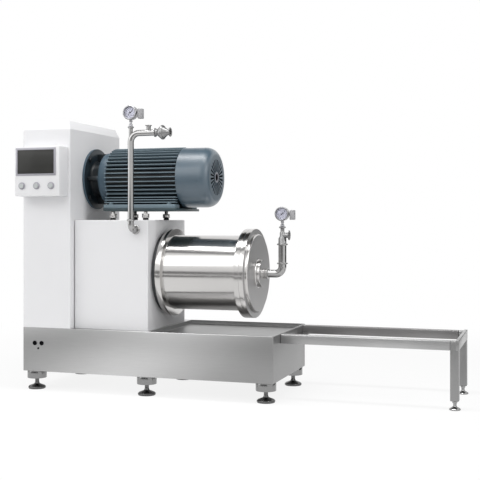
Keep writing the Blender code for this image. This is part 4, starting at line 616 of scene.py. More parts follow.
def over_fins(nodes, link, place):
    """Painted shade mask of the fins: one towards their tips, nought at their roots where shade is painted,
    by the distance from the motor's axis.
    """
    sizes = bpy.context.scene.mill_motor
    axis = middle("cooling_fan")
    away = added(nodes, "VectorMath", {1: (0, axis.y, axis.z)}, operation="SUBTRACT")
    across = added(nodes, "VectorMath", {1: (0, 1, 1)}, operation="MULTIPLY")
    radius = added(nodes, "VectorMath", operation="LENGTH")
    link(place, away.inputs[0])
    link(away.outputs[0], across.inputs[0])
    link(across.outputs[0], radius.inputs[0])
    return ramp(nodes, link, radius.outputs["Value"], sizes.fin_root + 0.004, sizes.fin_tip - 0.001)


def off_neck(nodes, link, place):
    """Painted shade mask of the shield: one on the flange's rim and on the bell, nought at the neck between
    them, where shade is painted.
    """
    start = low("motor_end_shield").x + SHIELD_SPIGOT
    split = added(nodes, "SeparateXYZ")
    either = added(nodes, "Math", operation="MAXIMUM")
    link(place, split.inputs[0])
    rim = ramp(nodes, link, split.outputs["X"], start + 0.0145, start + 0.0165, rising=False)
    bell = ramp(nodes, link, split.outputs["X"], start + 0.078, start + 0.108)
    link(rim, either.inputs[0])
    link(bell, either.inputs[1])
    return either.outputs[0]


def shadowed(made, lit_part):
    """Painted shade: darken a motor paint where the given lit part of it, from nought to one, is low."""
    nodes = made.node_tree.nodes
    if "shadow" in nodes:
        return
    link = made.node_tree.links.new
    place = added(nodes, "TexCoord")
    # Colour of the painted shade: the motor paint at a tenth
    depth = shade(bpy.context.scene.mill_colours.blue, 0.10)
    tones = added(nodes, "Mix", name="shadow", data_type="RGBA")
    tones.inputs[6].default_value = depth
    link(lit_part(nodes, link, place.outputs["Object"]), tones.inputs["Factor"])
    lay_over(made, tones, 7)


def painted_sheen(made):
    """Painted reflection: a soft slanting sheen painted into a long brushed sheet's colour, lightest about
    its middle.
    """
    nodes = made.node_tree.nodes
    if "sheen" in nodes:
        return
    link = made.node_tree.links.new
    start = low("base_frame")
    end = high("base_frame")
    underside = bpy.context.scene.mill_cabinet.base_underside
    slope = 0.10
    place = added(nodes, "TexCoord")
    split = added(nodes, "SeparateXYZ")
    along = added(nodes, "MapRange", {"From Min": start.x, "From Max": end.x})
    heights = {"From Min": underside, "From Max": end.z, "To Min": slope, "To Max": -slope}
    rise = added(nodes, "MapRange", heights)
    slant = added(nodes, "Math", operation="ADD")
    sweep = added(nodes, "ValToRGB")
    sweep.color_ramp.interpolation = "B_SPLINE"
    tones = ((0.0, 0.42), (0.22, 0.52), (0.50, 1.0), (0.80, 0.50), (1.0, 0.40))
    marks = sweep.color_ramp.elements
    for number, (spot, tone) in enumerate(tones):
        mark = marks[number] if number < 2 else marks.new(spot)
        mark.position = spot
        mark.color = (tone, tone, tone, 1)
    mixed = added(nodes, "Mix", {"Factor": 1.0}, name="sheen", data_type="RGBA", blend_type="MULTIPLY")
    link(place.outputs["Object"], split.inputs[0])
    link(split.outputs["X"], along.inputs["Value"])
    link(split.outputs["Z"], rise.inputs["Value"])
    link(along.outputs["Result"], slant.inputs[0])
    link(rise.outputs["Result"], slant.inputs[1])
    link(slant.outputs[0], sweep.inputs["Fac"])
    link(sweep.outputs["Color"], mixed.inputs[7])
    lay_over(made, mixed, 6)


def socket_set(label, value):
    """Treatment that sets one plain value of the shader."""
    def treat(made):
        made.node_tree.nodes["Principled BSDF"].inputs[label].default_value = value
    return treat


PAINTED = {"contrast": 0.10, "scale": 240, "cloud": 5, "grain": 0.35}
BUMPED = PAINTED | {"bump": 0.00004}
BRUSHED = {"metallic": 1.0, "contrast": 0.24, "scale": 420, "cloud": 1.6, "grain": 0.16, "bump": 0.00001}
PLATED = {"metallic": 1.0, "contrast": 0.05, "scale": 200, "cloud": 9, "grain": 0.4}
INKED = {"contrast": 0.1, "cloud": 10, "grain": 0.4}

# Each finish: name of its material, colour or name of its colour, roughness, further values
LOOKS = {
    "powder": ("white_powder_coat", "white", (0.38, 0.46),
               {"contrast": 0.012, "scale": 420, "cloud": 1.2, "grain": 0.4, "bump": 0.00002}),
    "motor": ("blue_grey_paint", "blue", (0.30, 0.42), BUMPED | {"coat": 1.0}),
    # Fins: a lighter copy of the motor paint as a painted highlight on the tips, with painted shade at the
    # roots; the shield has painted shade at its neck
    "fins": ("finned_paint", (0.138, 0.190, 0.222), (0.36, 0.48), BUMPED),
    "shield": ("shield_paint", "blue", (0.36, 0.48), BUMPED),
    "plate": ("plate_paint", (0.030, 0.052, 0.060), (0.30, 0.42), BUMPED),
    # Near-black paint of the motor's foot webs: painted shade
    "painted_shade": ("shaded_paint", (0.010, 0.014, 0.017), (0.4, 0.6), PAINTED),
    "brushed": ("brushed_sheet", "steel", (0.30, 0.42),
                BRUSHED | {"contrast": 0.26, "stretch": (0.02, 1, 1), "drawn": (1, 0.3, 0.3)}),
    # The base sheet's colour carries a painted sheen, a painted reflection lightest about its middle
    "base": ("brushed_base", (0.76, 0.76, 0.76), (0.30, 0.42),
             BRUSHED | {"contrast": 0.06, "stretch": (0.02, 1, 1), "grain": 0.6}),
    # A darker copy of the brushed steel for the back rail: painted shade
    "brushed_shade": ("brushed_tube_shaded", (0.25, 0.245, 0.245), (0.30, 0.42),
                      BRUSHED | {"stretch": (0.02, 1, 1)}),
    "brushed_cross": ("brushed_tube_across", "steel", (0.30, 0.42), BRUSHED | {"stretch": (1, 0.02, 1)}),
    # A darker copy of the brushed steel for the end frame's upright tubes: painted shade
    "brushed_up": ("brushed_tube_upright", (0.32, 0.32, 0.32), (0.28, 0.40),
                   BRUSHED | {"stretch": (1, 1, 0.02)}),
    "polished": ("polished_steel", "polished", (0.13, 0.19),
                 {"metallic": 1.0, "contrast": 0.03, "stretch": (1, 0.2, 0.2), "grain": 0.3}),
    "pipe": ("polished_tube", "tube", (0.10, 0.17),
             {"metallic": 1.0, "contrast": 0.04, "cloud": 8, "grain": 0.4}),
    "satin": ("satin_turned_steel", "satin", (0.36, 0.46),
              {"metallic": 1.0, "contrast": 0.04, "scale": 500, "cloud": 2.5, "grain": 0.4,
               "bump": 0.000006}),
    "chrome": ("plated_steel", (0.32, 0.32, 0.32), (0.06, 0.12), PLATED),
    # Sleeve and pad: darker copies of the plated steel, painted shade for the dark surroundings they reflect
    # under the base
    "sleeve": ("plated_sleeve", (0.27, 0.27, 0.27), (0.10, 0.16), PLATED),
    "pad": ("black_chrome_pad", (0.13, 0.13, 0.13), (0.06, 0.12), PLATED),
    "fitting": ("fitting_steel", (0.31, 0.31, 0.31), (0.34, 0.44), PLATED | {"scale": 300, "bump": 0.000004}),
    "gauge": ("gauge_case_steel", (0.33, 0.33, 0.345), (0.24, 0.34), PLATED | {"scale": 300, "cloud": 12}),
    "iron": ("painted_iron", (0.055, 0.058, 0.062), (0.42, 0.6),
             {"metallic": 0.3, "contrast": 0.18, "scale": 160, "cloud": 9, "bump": 0.0001}),
    "copper": ("varnished_windings", (0.20, 0.10, 0.05), (0.4, 0.55),
               {"metallic": 0.4, "contrast": 0.2, "scale": 200, "cloud": 9, "bump": 0.0001}),
    "rubber": ("black_rubber", (0.018, 0.018, 0.019), (0.55, 0.7),
               {"contrast": 0.2, "cloud": 12, "bump": 0.00005}),
    "screen": ("screen_glass", "screen", (0.16, 0.22),
               {"contrast": 0.05, "scale": 120, "cloud": 3, "grain": 0.3}),
    "silver": ("silver_frame", "silver", (0.32, 0.42),
               {"metallic": 0.3, "contrast": 0.03, "scale": 600, "cloud": 6, "bump": 0.00001}),
    "button": ("button_plastic", "button", (0.34, 0.44),
               {"contrast": 0.03, "scale": 500, "cloud": 20, "grain": 0.4, "bump": 0.00001}),
    "box": ("contact_box_plastic", (0.36, 0.36, 0.37), (0.4, 0.5),
            {"contrast": 0.03, "scale": 500, "cloud": 12, "bump": 0.00002}),
    "dial": ("dial_face", (0.66, 0.65, 0.74), (0.4, 0.5), INKED | {"contrast": 0.01}),
    "tick": ("dial_tick_ink", (0.53, 0.53, 0.60), (0.5, 0.6), INKED),
    "ink": ("dial_ink", (0.02, 0.02, 0.03), (0.5, 0.6), INKED),
    # Black of the hole plugs, and painted shade on the disc behind the cowl's slots
    "dark": ("dark_gap", (0.005, 0.005, 0.006), (0.8, 0.9), {"contrast": 0.2, "scale": 200, "cloud": 9}),
    "glass": ("gauge_glass", (0.95, 0.96, 0.98), (0.02, 0.05), {"contrast": 0.01}),
}

TREATMENTS = {
    "base": (painted_sheen,),
    "fins": (lambda made: shadowed(made, over_fins),),
    "shield": (lambda made: shadowed(made, off_neck),),
    "painted_shade": (socket_set("Specular IOR Level", 0.0),),
    "dark": (socket_set("Specular IOR Level", 0.0),),
    "screen": (socket_set("Specular IOR Level", 0.12),),
    "glass": (socket_set("Transmission Weight", 1.0), socket_set("IOR", 1.2)),
}


def finish(kind):
    """Finish of the mill by its plain name."""
    name, colour, rough, details = LOOKS[kind]
    if isinstance(colour, str):
        colour = getattr(bpy.context.scene.mill_colours, colour)
    made = surface(name, colour, rough, **details)
    for treat in TREATMENTS.get(kind, ()):
        treat(made)
    return made


# Stage


def aim(thing, target):
    """Turn a lamp or camera towards a point."""
    thing.rotation_euler = (Vector(target) - thing.location).to_track_quat("-Z", "Y").to_euler()


class MILL_OT_stage(Operator):
    """White studio: world, floor, soft boxes, flags and the camera."""

    bl_idname = "mill.stage"
    bl_label = "Build studio"

    def execute(self, context):
        scene = context.scene
        scene.view_settings.view_transform = "Standard"
        self.make_world(scene)
        self.make_floor(scene.mill_studio)
        self.make_lamps(scene)
        self.make_flags()
        self.make_camera(scene)
        return {"FINISHED"}

    def make_world(self, scene):
        """White to look at and in reflections, softer as light."""
        world = bpy.data.worlds.new("studio")
        world.use_nodes = True
        scene.world = world
        nodes = world.node_tree.nodes
        link = world.node_tree.links.new
        path = added(nodes, "LightPath")
        seen = added(nodes, "Math", operation="MAXIMUM")
        clear = added(nodes, "Math", operation="MAXIMUM")
        level = added(nodes, "MapRange", {"To Min": scene.mill_studio.ambient, "To Max": 1.0})
        link(path.outputs["Is Camera Ray"], seen.inputs[0])
        link(path.outputs["Is Glossy Ray"], seen.inputs[1])
        link(seen.outputs[0], clear.inputs[0])
        link(path.outputs["Is Transmission Ray"], clear.inputs[1])
        link(clear.outputs[0], level.inputs["Value"])
        link(level.outputs["Result"], nodes["Background"].inputs["Strength"])
        nodes["Background"].inputs["Color"].default_value = (1, 1, 1, 1)

    def make_floor(self, studio):
        """Pale floor that keeps a soft shadow near the mill and is plain white further off."""
        clear_selection()
        bpy.ops.mesh.primitive_plane_add(size=60, location=(0, 0, 0))
        floor = bpy.context.object
        floor.name = "studio_floor"
        paper = bpy.data.materials.new("white_paper_floor")
        paper.use_nodes = True
        nodes = paper.node_tree.nodes
        link = paper.node_tree.links.new
        body = nodes["Principled BSDF"]
        body.inputs["Base Color"].default_value = (0.93, 0.93, 0.93, 1)
        body.inputs["Roughness"].default_value = 1.0
        body.inputs["Specular IOR Level"].default_value = 0.0
        glow = added(nodes, "Emission", {"Strength": 1.0})
        path = added(nodes, "LightPath")
        seen = added(nodes, "Math", operation="MAXIMUM")
        share = added(nodes, "Math", operation="MULTIPLY")
        place = added(nodes, "TexCoord")
        away = added(nodes, "VectorMath", operation="LENGTH")
        reach = {"From Min": studio.floor_near, "From Max": studio.floor_far, "To Min": studio.floor_glow}
        fade = added(nodes, "MapRange", reach, interpolation_type="SMOOTHSTEP")
        mix = added(nodes, "MixShader")
        link(place.outputs["Object"], away.inputs[0])
        link(away.outputs["Value"], fade.inputs["Value"])
        link(fade.outputs["Result"], share.inputs[1])
        link(path.outputs["Is Camera Ray"], seen.inputs[0])
        link(path.outputs["Is Glossy Ray"], seen.inputs[1])
        link(seen.outputs[0], share.inputs[0])
        link(share.outputs[0], mix.inputs[0])
        link(body.outputs[0], mix.inputs[1])
        link(glow.outputs[0], mix.inputs[2])
        link(mix.outputs[0], nodes["Material Output"].inputs["Surface"])
        floor.data.materials.append(paper)

    def make_lamps(self, scene):
        """Soft boxes over the front, above and at both sides."""
        boxes = (
            ("front_box", (-1.5, -3.0, 3.1), (0.0, 0.0, 0.8), 5.0, 2.0, 48),
            ("top_box", (-0.3, -0.6, 4.4), (-0.3, 0.0, 0.8), 4.5, 0.6, 96),
            ("left_box", (-4.6, -2.6, 1.9), (-0.6, 0.0, 1.0), 3.0, 2.6, 26),
            ("right_box", (4.6, -1.2, 3.3), (0.0, 0.0, 0.9), 2.6, 1.8, 44),
        )
        for name, place, target, wide, tall, power in boxes:
            data = bpy.data.lights.new(name, "AREA")
            data.shape = "RECTANGLE"
            data.size = wide
            data.size_y = tall
            data.energy = power
            lamp = bpy.data.objects.new(name, data)
            scene.collection.objects.link(lamp)
            lamp.location = place
            aim(lamp, target)

    def make_flags(self):
        """Dark and grey cards out of view, which give the polished steel its bands."""
        flat = (0.0, 0.0, 0.0)
        upright = (90.0, 0.0, 0.0)
        sideways = (90.0, 0.0, 90.0)
        cards = (
            ("rear_flag", (-0.4, 1.35, 4.0), (7.0, 2.4), flat, 0.012),
            ("ceiling_card", (-0.8, -1.35, 3.7), (7.0, 0.55), flat, 0.22),
            ("horizon_card", (-2.2, -7.6, 0.9), (14.0, 1.1), upright, 0.30),
            ("floor_card", (-1.8, -4.9, 0.01), (12.0, 2.8), flat, 0.03),
            ("right_flag", (5.4, 3.2, 1.1), (4.6, 2.2), sideways, 0.02),
            ("rear_right_card", (3.5, 6.5, 1.3), (4.3, 2.6), (90.0, 0.0, -22.5), 0.24),
            ("left_flag", (-6.3, 2.9, 1.1), (6.4, 2.2), sideways, 0.02),
        )
        for name, place, size, turn, tone in cards:
            clear_selection()
            angles = [math.radians(angle) for angle in turn]
            bpy.ops.mesh.primitive_plane_add(size=1.0, location=place, rotation=angles)
            card = bpy.context.object
            card.scale = (size[0], size[1], 1)
            settle(card, name)
            cloth = surface(name + "_cloth", (tone, tone, tone), (0.9, 1.0), contrast=0.02)
            card.data.materials.append(cloth)
            card.visible_camera = False

    def make_camera(self, scene):
        """Level camera at the photograph's place."""
        studio = scene.mill_studio
        data = bpy.data.cameras.new("camera")
        data.lens = studio.lens
        data.shift_y = studio.shift
        camera = bpy.data.objects.new("camera", data)
        scene.collection.objects.link(camera)
        camera.location = studio.place
        camera.rotation_euler = (math.radians(90), 0, math.radians(studio.azimuth))
        scene.camera = camera


# Cabinets


def open_box(name, corner_a, corner_b):
    """Box without its bottom."""
    cover = block(name, corner_a, corner_b)
    edit_faces(cover, (0, 0, -1))
    bpy.ops.mesh.delete(type="ONLY_FACE")
    leave_edit()
    return cover


def thicken(cover, edge, wall):
    """Give a sheet cover its rounded folds and its thickness inwards."""
    soften(cover, edge, 3)
    modify(cover, "SOLIDIFY", thickness=wall, offset=-1.0, use_even_offset=True)
    return cover


class MILL_OT_base(Operator):
    """Brushed base box with its sunk drip tray, hole plugs and levelling feet."""

    bl_idname = "mill.base"
    bl_label = "Build base"

    def execute(self, context):
        sizes = context.scene.mill_cabinet
        start = low("base_frame")
        end = high("base_frame")
        tray_low = low("drip_tray")
        tray_high = high("drip_tray")
        base = block("base_sheet", (start.x, start.y, sizes.base_underside), end, sizes.base_edge, 3)
        gap = Vector((SEAT, SEAT, SEAT))
        above = Vector((0, 0, 0.05))
        smooth(carve(base, block("pocket", tray_low - gap, tray_high + gap + above)))
        fit(base, "machine", "base", "base_frame")
        tray = block("drip_pan", tray_low, tray_high)
        edit_faces(tray, (0, 0, 1))
        bpy.ops.mesh.inset(thickness=sizes.tray_wall)
        extrude((0, 0, sizes.tray_floor - (tray_high.z - tray_low.z)))
        leave_edit()
        fit(soften(tray, 0.001), "machine", "brushed", "drip_tray")
        self.make_plugs(start)
        self.make_feet(context.scene.mill_feet, start, end, sizes.base_underside)
        return {"FINISHED"}

    def make_plugs(self, start):
        """Black plugs in the front of the base by the corner: two large ones and a small one under them."""
        plugs = []
        for along, height, radius in ((0.084, 0.301, 0.0145), (0.133, 0.301, 0.0145), (0.109, 0.268, 0.006)):
            outline = [(0.001, radius), (-0.002, radius), (-0.0032, radius * 0.72)]
            plugs.append(turned("plug", "Y", (start.x + along, start.y, height), outline, 0.0004, BOLT_SIDES))
        fit(merged("base_plugs", plugs), "machine", "dark")

    def make_feet(self, sizes, start, end, underside):
        """Six sleeved levelling feet in two rows."""
        inset = sizes.inset
        places = [(x, y, 0) for y in (start.y + inset, end.y - inset)
                  for x in (start.x + inset, (start.x + end.x) / 2, end.x - inset)]
        for number, place in enumerate(places, start=1):
            self.make_foot(sizes, f"base_foot_{number}", Vector(place), underside)

    def make_foot(self, sizes, name, centre, underside):
        """Polished sleeve, levelling screw, domed pad and its rubber sole."""
        bottom = underside - sizes.sleeve_drop
        dome = sizes.pad_height
        screw = sizes.stem * 0.82
        nut = sizes.stem * 1.5
        sole = sizes.pad - 0.003
        sleeve = turned("sleeve", "Z", centre, [
            (bottom, sizes.sleeve), (underside - CONTACT, sizes.sleeve),
        ], 0.002)
        stem = turned("stem", "Z", centre, [
            (dome - 0.004, sizes.stem), (dome + 0.006, sizes.stem), (dome + 0.012, screw),
            (bottom - 0.008, screw), (bottom - 0.004, nut), (bottom, nut),
        ], 0.0008, PIPE_SIDES)
        pad = turned("pad", "Z", centre, [
            (0.003, sizes.pad - 0.001), (0.0035, sizes.pad), (sizes.pad_edge, sizes.pad),
            (sizes.pad_edge + 0.0075, sizes.pad * 0.86), (sizes.pad_edge + 0.0135, sizes.pad * 0.58),
            (dome, sizes.pad * 0.36), (dome + 0.002, sizes.stem + 0.002),
        ], 0.0015)
        rim = turned(name + "_sole", "Z", centre, [(0.0, sole), (0.0032, sole)])
        # Sleeve and pad take darkened plated steel: painted shade
        fit(renamed(sleeve, name + "_sleeve"), "machine", "sleeve")
        fit(merged(name, [pad, stem]), "machine", "pad")
        fit(rim, "machine", "rubber")


class MILL_OT_column(Operator):
    """Painted column with its tapered head and the louvred service panel."""

    bl_idname = "mill.column"
    bl_label = "Build column"

    def execute(self, context):
        sizes = context.scene.mill_cabinet
        start = low("column_cover")
        end = high("column_cover")
        shoulder = end.z - sizes.head
        cover = open_box("column_skin", start, (end.x, end.y, shoulder))
        edit_faces(cover, (0, 0, 1))
        extrude((0, 0, sizes.head))
        grow = (1 - 2 * sizes.taper / (end.x - start.x), 1 - 2 * sizes.taper / (end.y - start.y), 1)
        centre = ((start.x + end.x) / 2, (start.y + end.y) / 2, shoulder)
        bpy.ops.transform.resize(value=grow, center_override=centre)
        leave_edit()
        thicken(cover, sizes.cover_edge, sizes.sheet)
        panel_low = low("service_panel")
        panel_high = high("service_panel")
        lap = Vector((0, 0.014, 0.014))
        outward = Vector((0.02, 0, 0))
        inward = Vector((0.05, 0, 0))
        opening = block("opening", panel_low + lap - outward, panel_high - lap + inward)
        motor = middle("motor_end_shield")
        mill = middle("mill_shaft")
        spigot_way = 0.151
        spigot = bore("X", (end.x, motor.y, motor.z), spigot_way)
        smooth(carve(cover, opening, spigot, bore("X", (end.x, mill.y, mill.z), SHAFT_WAY)))
        fit(cover, "machine", "powder", "column_cover")
        self.make_panel(panel_low, panel_high)
        return {"FINISHED"}

    def make_panel(self, start, end):
        """Service panel with eight louvres and its screws."""
        panel = block("service_door", start, end, 0.0005)
        centre = (start + end) / 2
        rows = 8
        first = 0.120
        pitch = 0.034
        half = 0.110
        wing = half + 0.002
        proud = 0.005
        slots = []
        hoods = []
        for row in range(rows):
            z = start.z + first + row * pitch
            slots.append(block("slot", (start.x - 0.01, centre.y - half, z),
                               (end.x + 0.01, centre.y + half, z + 0.008)))
            hoods.append(block("hood", (start.x - proud, centre.y - wing, z + 0.004),
                               (start.x, centre.y + wing, z + 0.013), 0.0024))
        carve(panel, merged("slots", slots))
        fit(merged("service_door", [panel] + hoods), "machine", "powder", "service_panel")
        inset = 0.018
        rims = (start.y + inset, end.y - inset)
        heights = (start.z + inset, end.z - inset)
        places = [(start.x, y, z) for y in (rims[0], centre.y, rims[1]) for z in heights]
        places += [(start.x, y, centre.z) for y in rims]
        fit(screws("service_door_screws", "X", places, 0.0045, 0.0022, side=-1), "machine", "chrome")


class MILL_OT_control(Operator):
    """Control box with its screen, silver frame and three push buttons."""

    bl_idname = "mill.control"
    bl_label = "Build control box"

    def execute(self, context):
        sizes = context.scene.mill_cabinet
        face = high("screen_bezel").y + SEAT
        start = low("control_box")
        body = block("control_case", (start.x, face, start.z), high("control_box"), sizes.control_edge, 4)
        fit(body, "machine", "powder", "control_box")
        screen_low = low("touch_screen")
        screen_high = high("touch_screen")
        bezel = block("screen_frame", low("screen_bezel"), high("screen_bezel"), 0.0015, 3)
        margin = Vector((SEAT, 0.02, SEAT))
        smooth(carve(bezel, block("hole", screen_low - margin, screen_high + margin)))
        fit(bezel, "machine", "silver", "screen_bezel")
        fit(block("screen_pane", screen_low, screen_high, 0.0006), "machine", "screen", "touch_screen")
        collars = [self.make_button(name, face) for name in ("start", "stop", "reset")]
        fit(merged("button_collars", collars), "machine", "silver")
        return {"FINISHED"}

    def make_button(self, name, face):
        """Dished cap that rides with its button, and the collar round it."""
        node = name + "_button"
        spot = middle(node)
        centre = (spot.x, face, spot.z)
        radius = (high(node).x - low(node).x) / 2
        inner = radius + 0.0006
        outer = radius + 0.0080
        collar = ring("collar", "Y", centre, [
            (0.001, inner), (0.001, outer), (-0.0056, outer - 0.0006), (-0.0080, radius + 0.0042),
            (-0.0080, inner),
        ])
        tip = low(node).y - face
        cap = turned(name + "_cap", "Y", centre, [
            (high(node).y - face, radius), (tip + 0.0015, radius), (tip, radius - 0.0018),
            (tip + 0.0008, radius * 0.62), (tip + 0.0012, radius * 0.2),
        ])
        fit(cap, name + "_cap", "button", node)
        return collar


class MILL_OT_housing(Operator):
    """Painted drive housing and the dark neck that carries the chamber."""

    bl_idname = "mill.housing"
    bl_label = "Build drive housing"

    def execute(self, context):
        sizes = context.scene.mill_cabinet
        start = low("drive_housing")
        end = high("drive_housing")
        shell = open_box("housing_skin", start, end)
        thicken(shell, sizes.cover_edge, sizes.housing_sheet)
        axis = middle("chamber_neck")
        neck = (high("chamber_neck").z - low("chamber_neck").z) / 2
        port = low("feed_elbow").z + FEED_PORT
        hole = bore("X", (end.x, axis.y, axis.z), neck + 0.0004, BARREL_SIDES)
        tube_way = 0.0195
        feed = bore("Y", (middle("feed_elbow").x, start.y, port), tube_way, BOLT_SIDES)
        way = bore("X", (start.x, axis.y, axis.z), SHAFT_WAY)
        smooth(carve(shell, hole, feed, way))
        fit(shell, "machine", "powder", "drive_housing")
        self.make_neck(axis, neck, end.x - sizes.housing_sheet)
        return {"FINISHED"}

    def make_neck(self, axis, radius, wall):
        """Cast neck: a flange inside the wall, a barrel through it and a seat for the seal."""
        start = low("chamber_neck").x
        depth = high("chamber_neck").x - start
        flange = 0.190
        step = wall - 0.010 - start
        lip = radius - 0.010
        seat = 0.076
        shaft = 0.0426
        neck = ring("neck_casting", "X", (start, axis.y, axis.z), [
            (0, shaft), (0, flange), (step - 0.010, flange), (step, radius), (depth - 0.012, radius),
            (depth - 0.012, lip), (depth, lip), (depth, seat), (0.045, seat), (0.045, shaft),
        ], 0.0015, BARREL_SIDES)
        fit(neck, "machine", "iron", "chamber_neck")


class MILL_OT_chamber(Operator):
    """Polished jacket with its two flanges, and the raised end cover."""

    bl_idname = "mill.chamber"
    bl_label = "Build chamber"

    def execute(self, context):
        sizes = context.scene.mill_chamber
        start = low("chamber_jacket")
        end = high("chamber_jacket").x - start.x
        axis = middle("chamber_jacket")
        rear = sizes.rear_flange
        front = end - sizes.front_flange
        inside = sizes.jacket - 0.004
        jacket = ring("jacket_shell", "X", (start.x, axis.y, axis.z), [
            (0, sizes.bore), (0, sizes.flange), (rear, sizes.flange), (rear, sizes.jacket),
            (front, sizes.jacket), (front, sizes.flange), (end, sizes.flange), (end, sizes.bore),
            (front, sizes.bore), (front, inside), (rear, inside), (rear, sizes.bore),
        ], 0.0016, RING_SIDES, segments=3)
        fit(jacket, "chamber", "polished", "chamber_jacket")
        self.make_cover(sizes, axis)
        return {"FINISHED"}

    def make_cover(self, sizes, axis):
        """End cover with its raised disc, hub and outlet nipple."""
        start = low("end_cover").x + sizes.spigot
        rim = sizes.cover_flange
        face = rim + sizes.disc_height
        hub = face + sizes.hub_height
        nipple = high("end_cover").x - start
        edge = sizes.disc_edge
        outlet = 0.023
        lip = 0.034
        spigot = sizes.bore - 0.0005
        fillet = 0.004
        origin = (start, axis.y, axis.z)
        cover = ring("cover_plate", "X", origin, [
            (-sizes.spigot, outlet), (-sizes.spigot, spigot), (0, spigot), (0, sizes.flange),
            (rim, sizes.flange), (rim, sizes.disc), (face - edge, sizes.disc), (face, sizes.disc - edge),
            (face, sizes.hub + fillet), (face + fillet, sizes.hub), (hub, sizes.hub), (hub, sizes.nipple),
            (nipple - RIM, sizes.nipple), (nipple - RIM, lip), (nipple, lip), (nipple, outlet),
        ], 0.0014, RING_SIDES, segments=3)
        fit(cover, "chamber", "polished", "end_cover")
        skin = 0.0004
        bands = ((rim, sizes.disc + 0.001, sizes.flange - 0.0016),
                 (face, sizes.hub + 0.0055, sizes.disc - edge - 0.001),
                 (hub, sizes.nipple + 0.001, sizes.hub - 0.0018))
        faces = [ring("face", "X", origin, [
            (spot - skin, inner), (spot - skin, outer), (spot + skin, outer), (spot + skin, inner),
        ], 0.0, RING_SIDES) for spot, inner, outer in bands]
        fit(merged("cover_faces", faces), "chamber", "satin")


# Motor


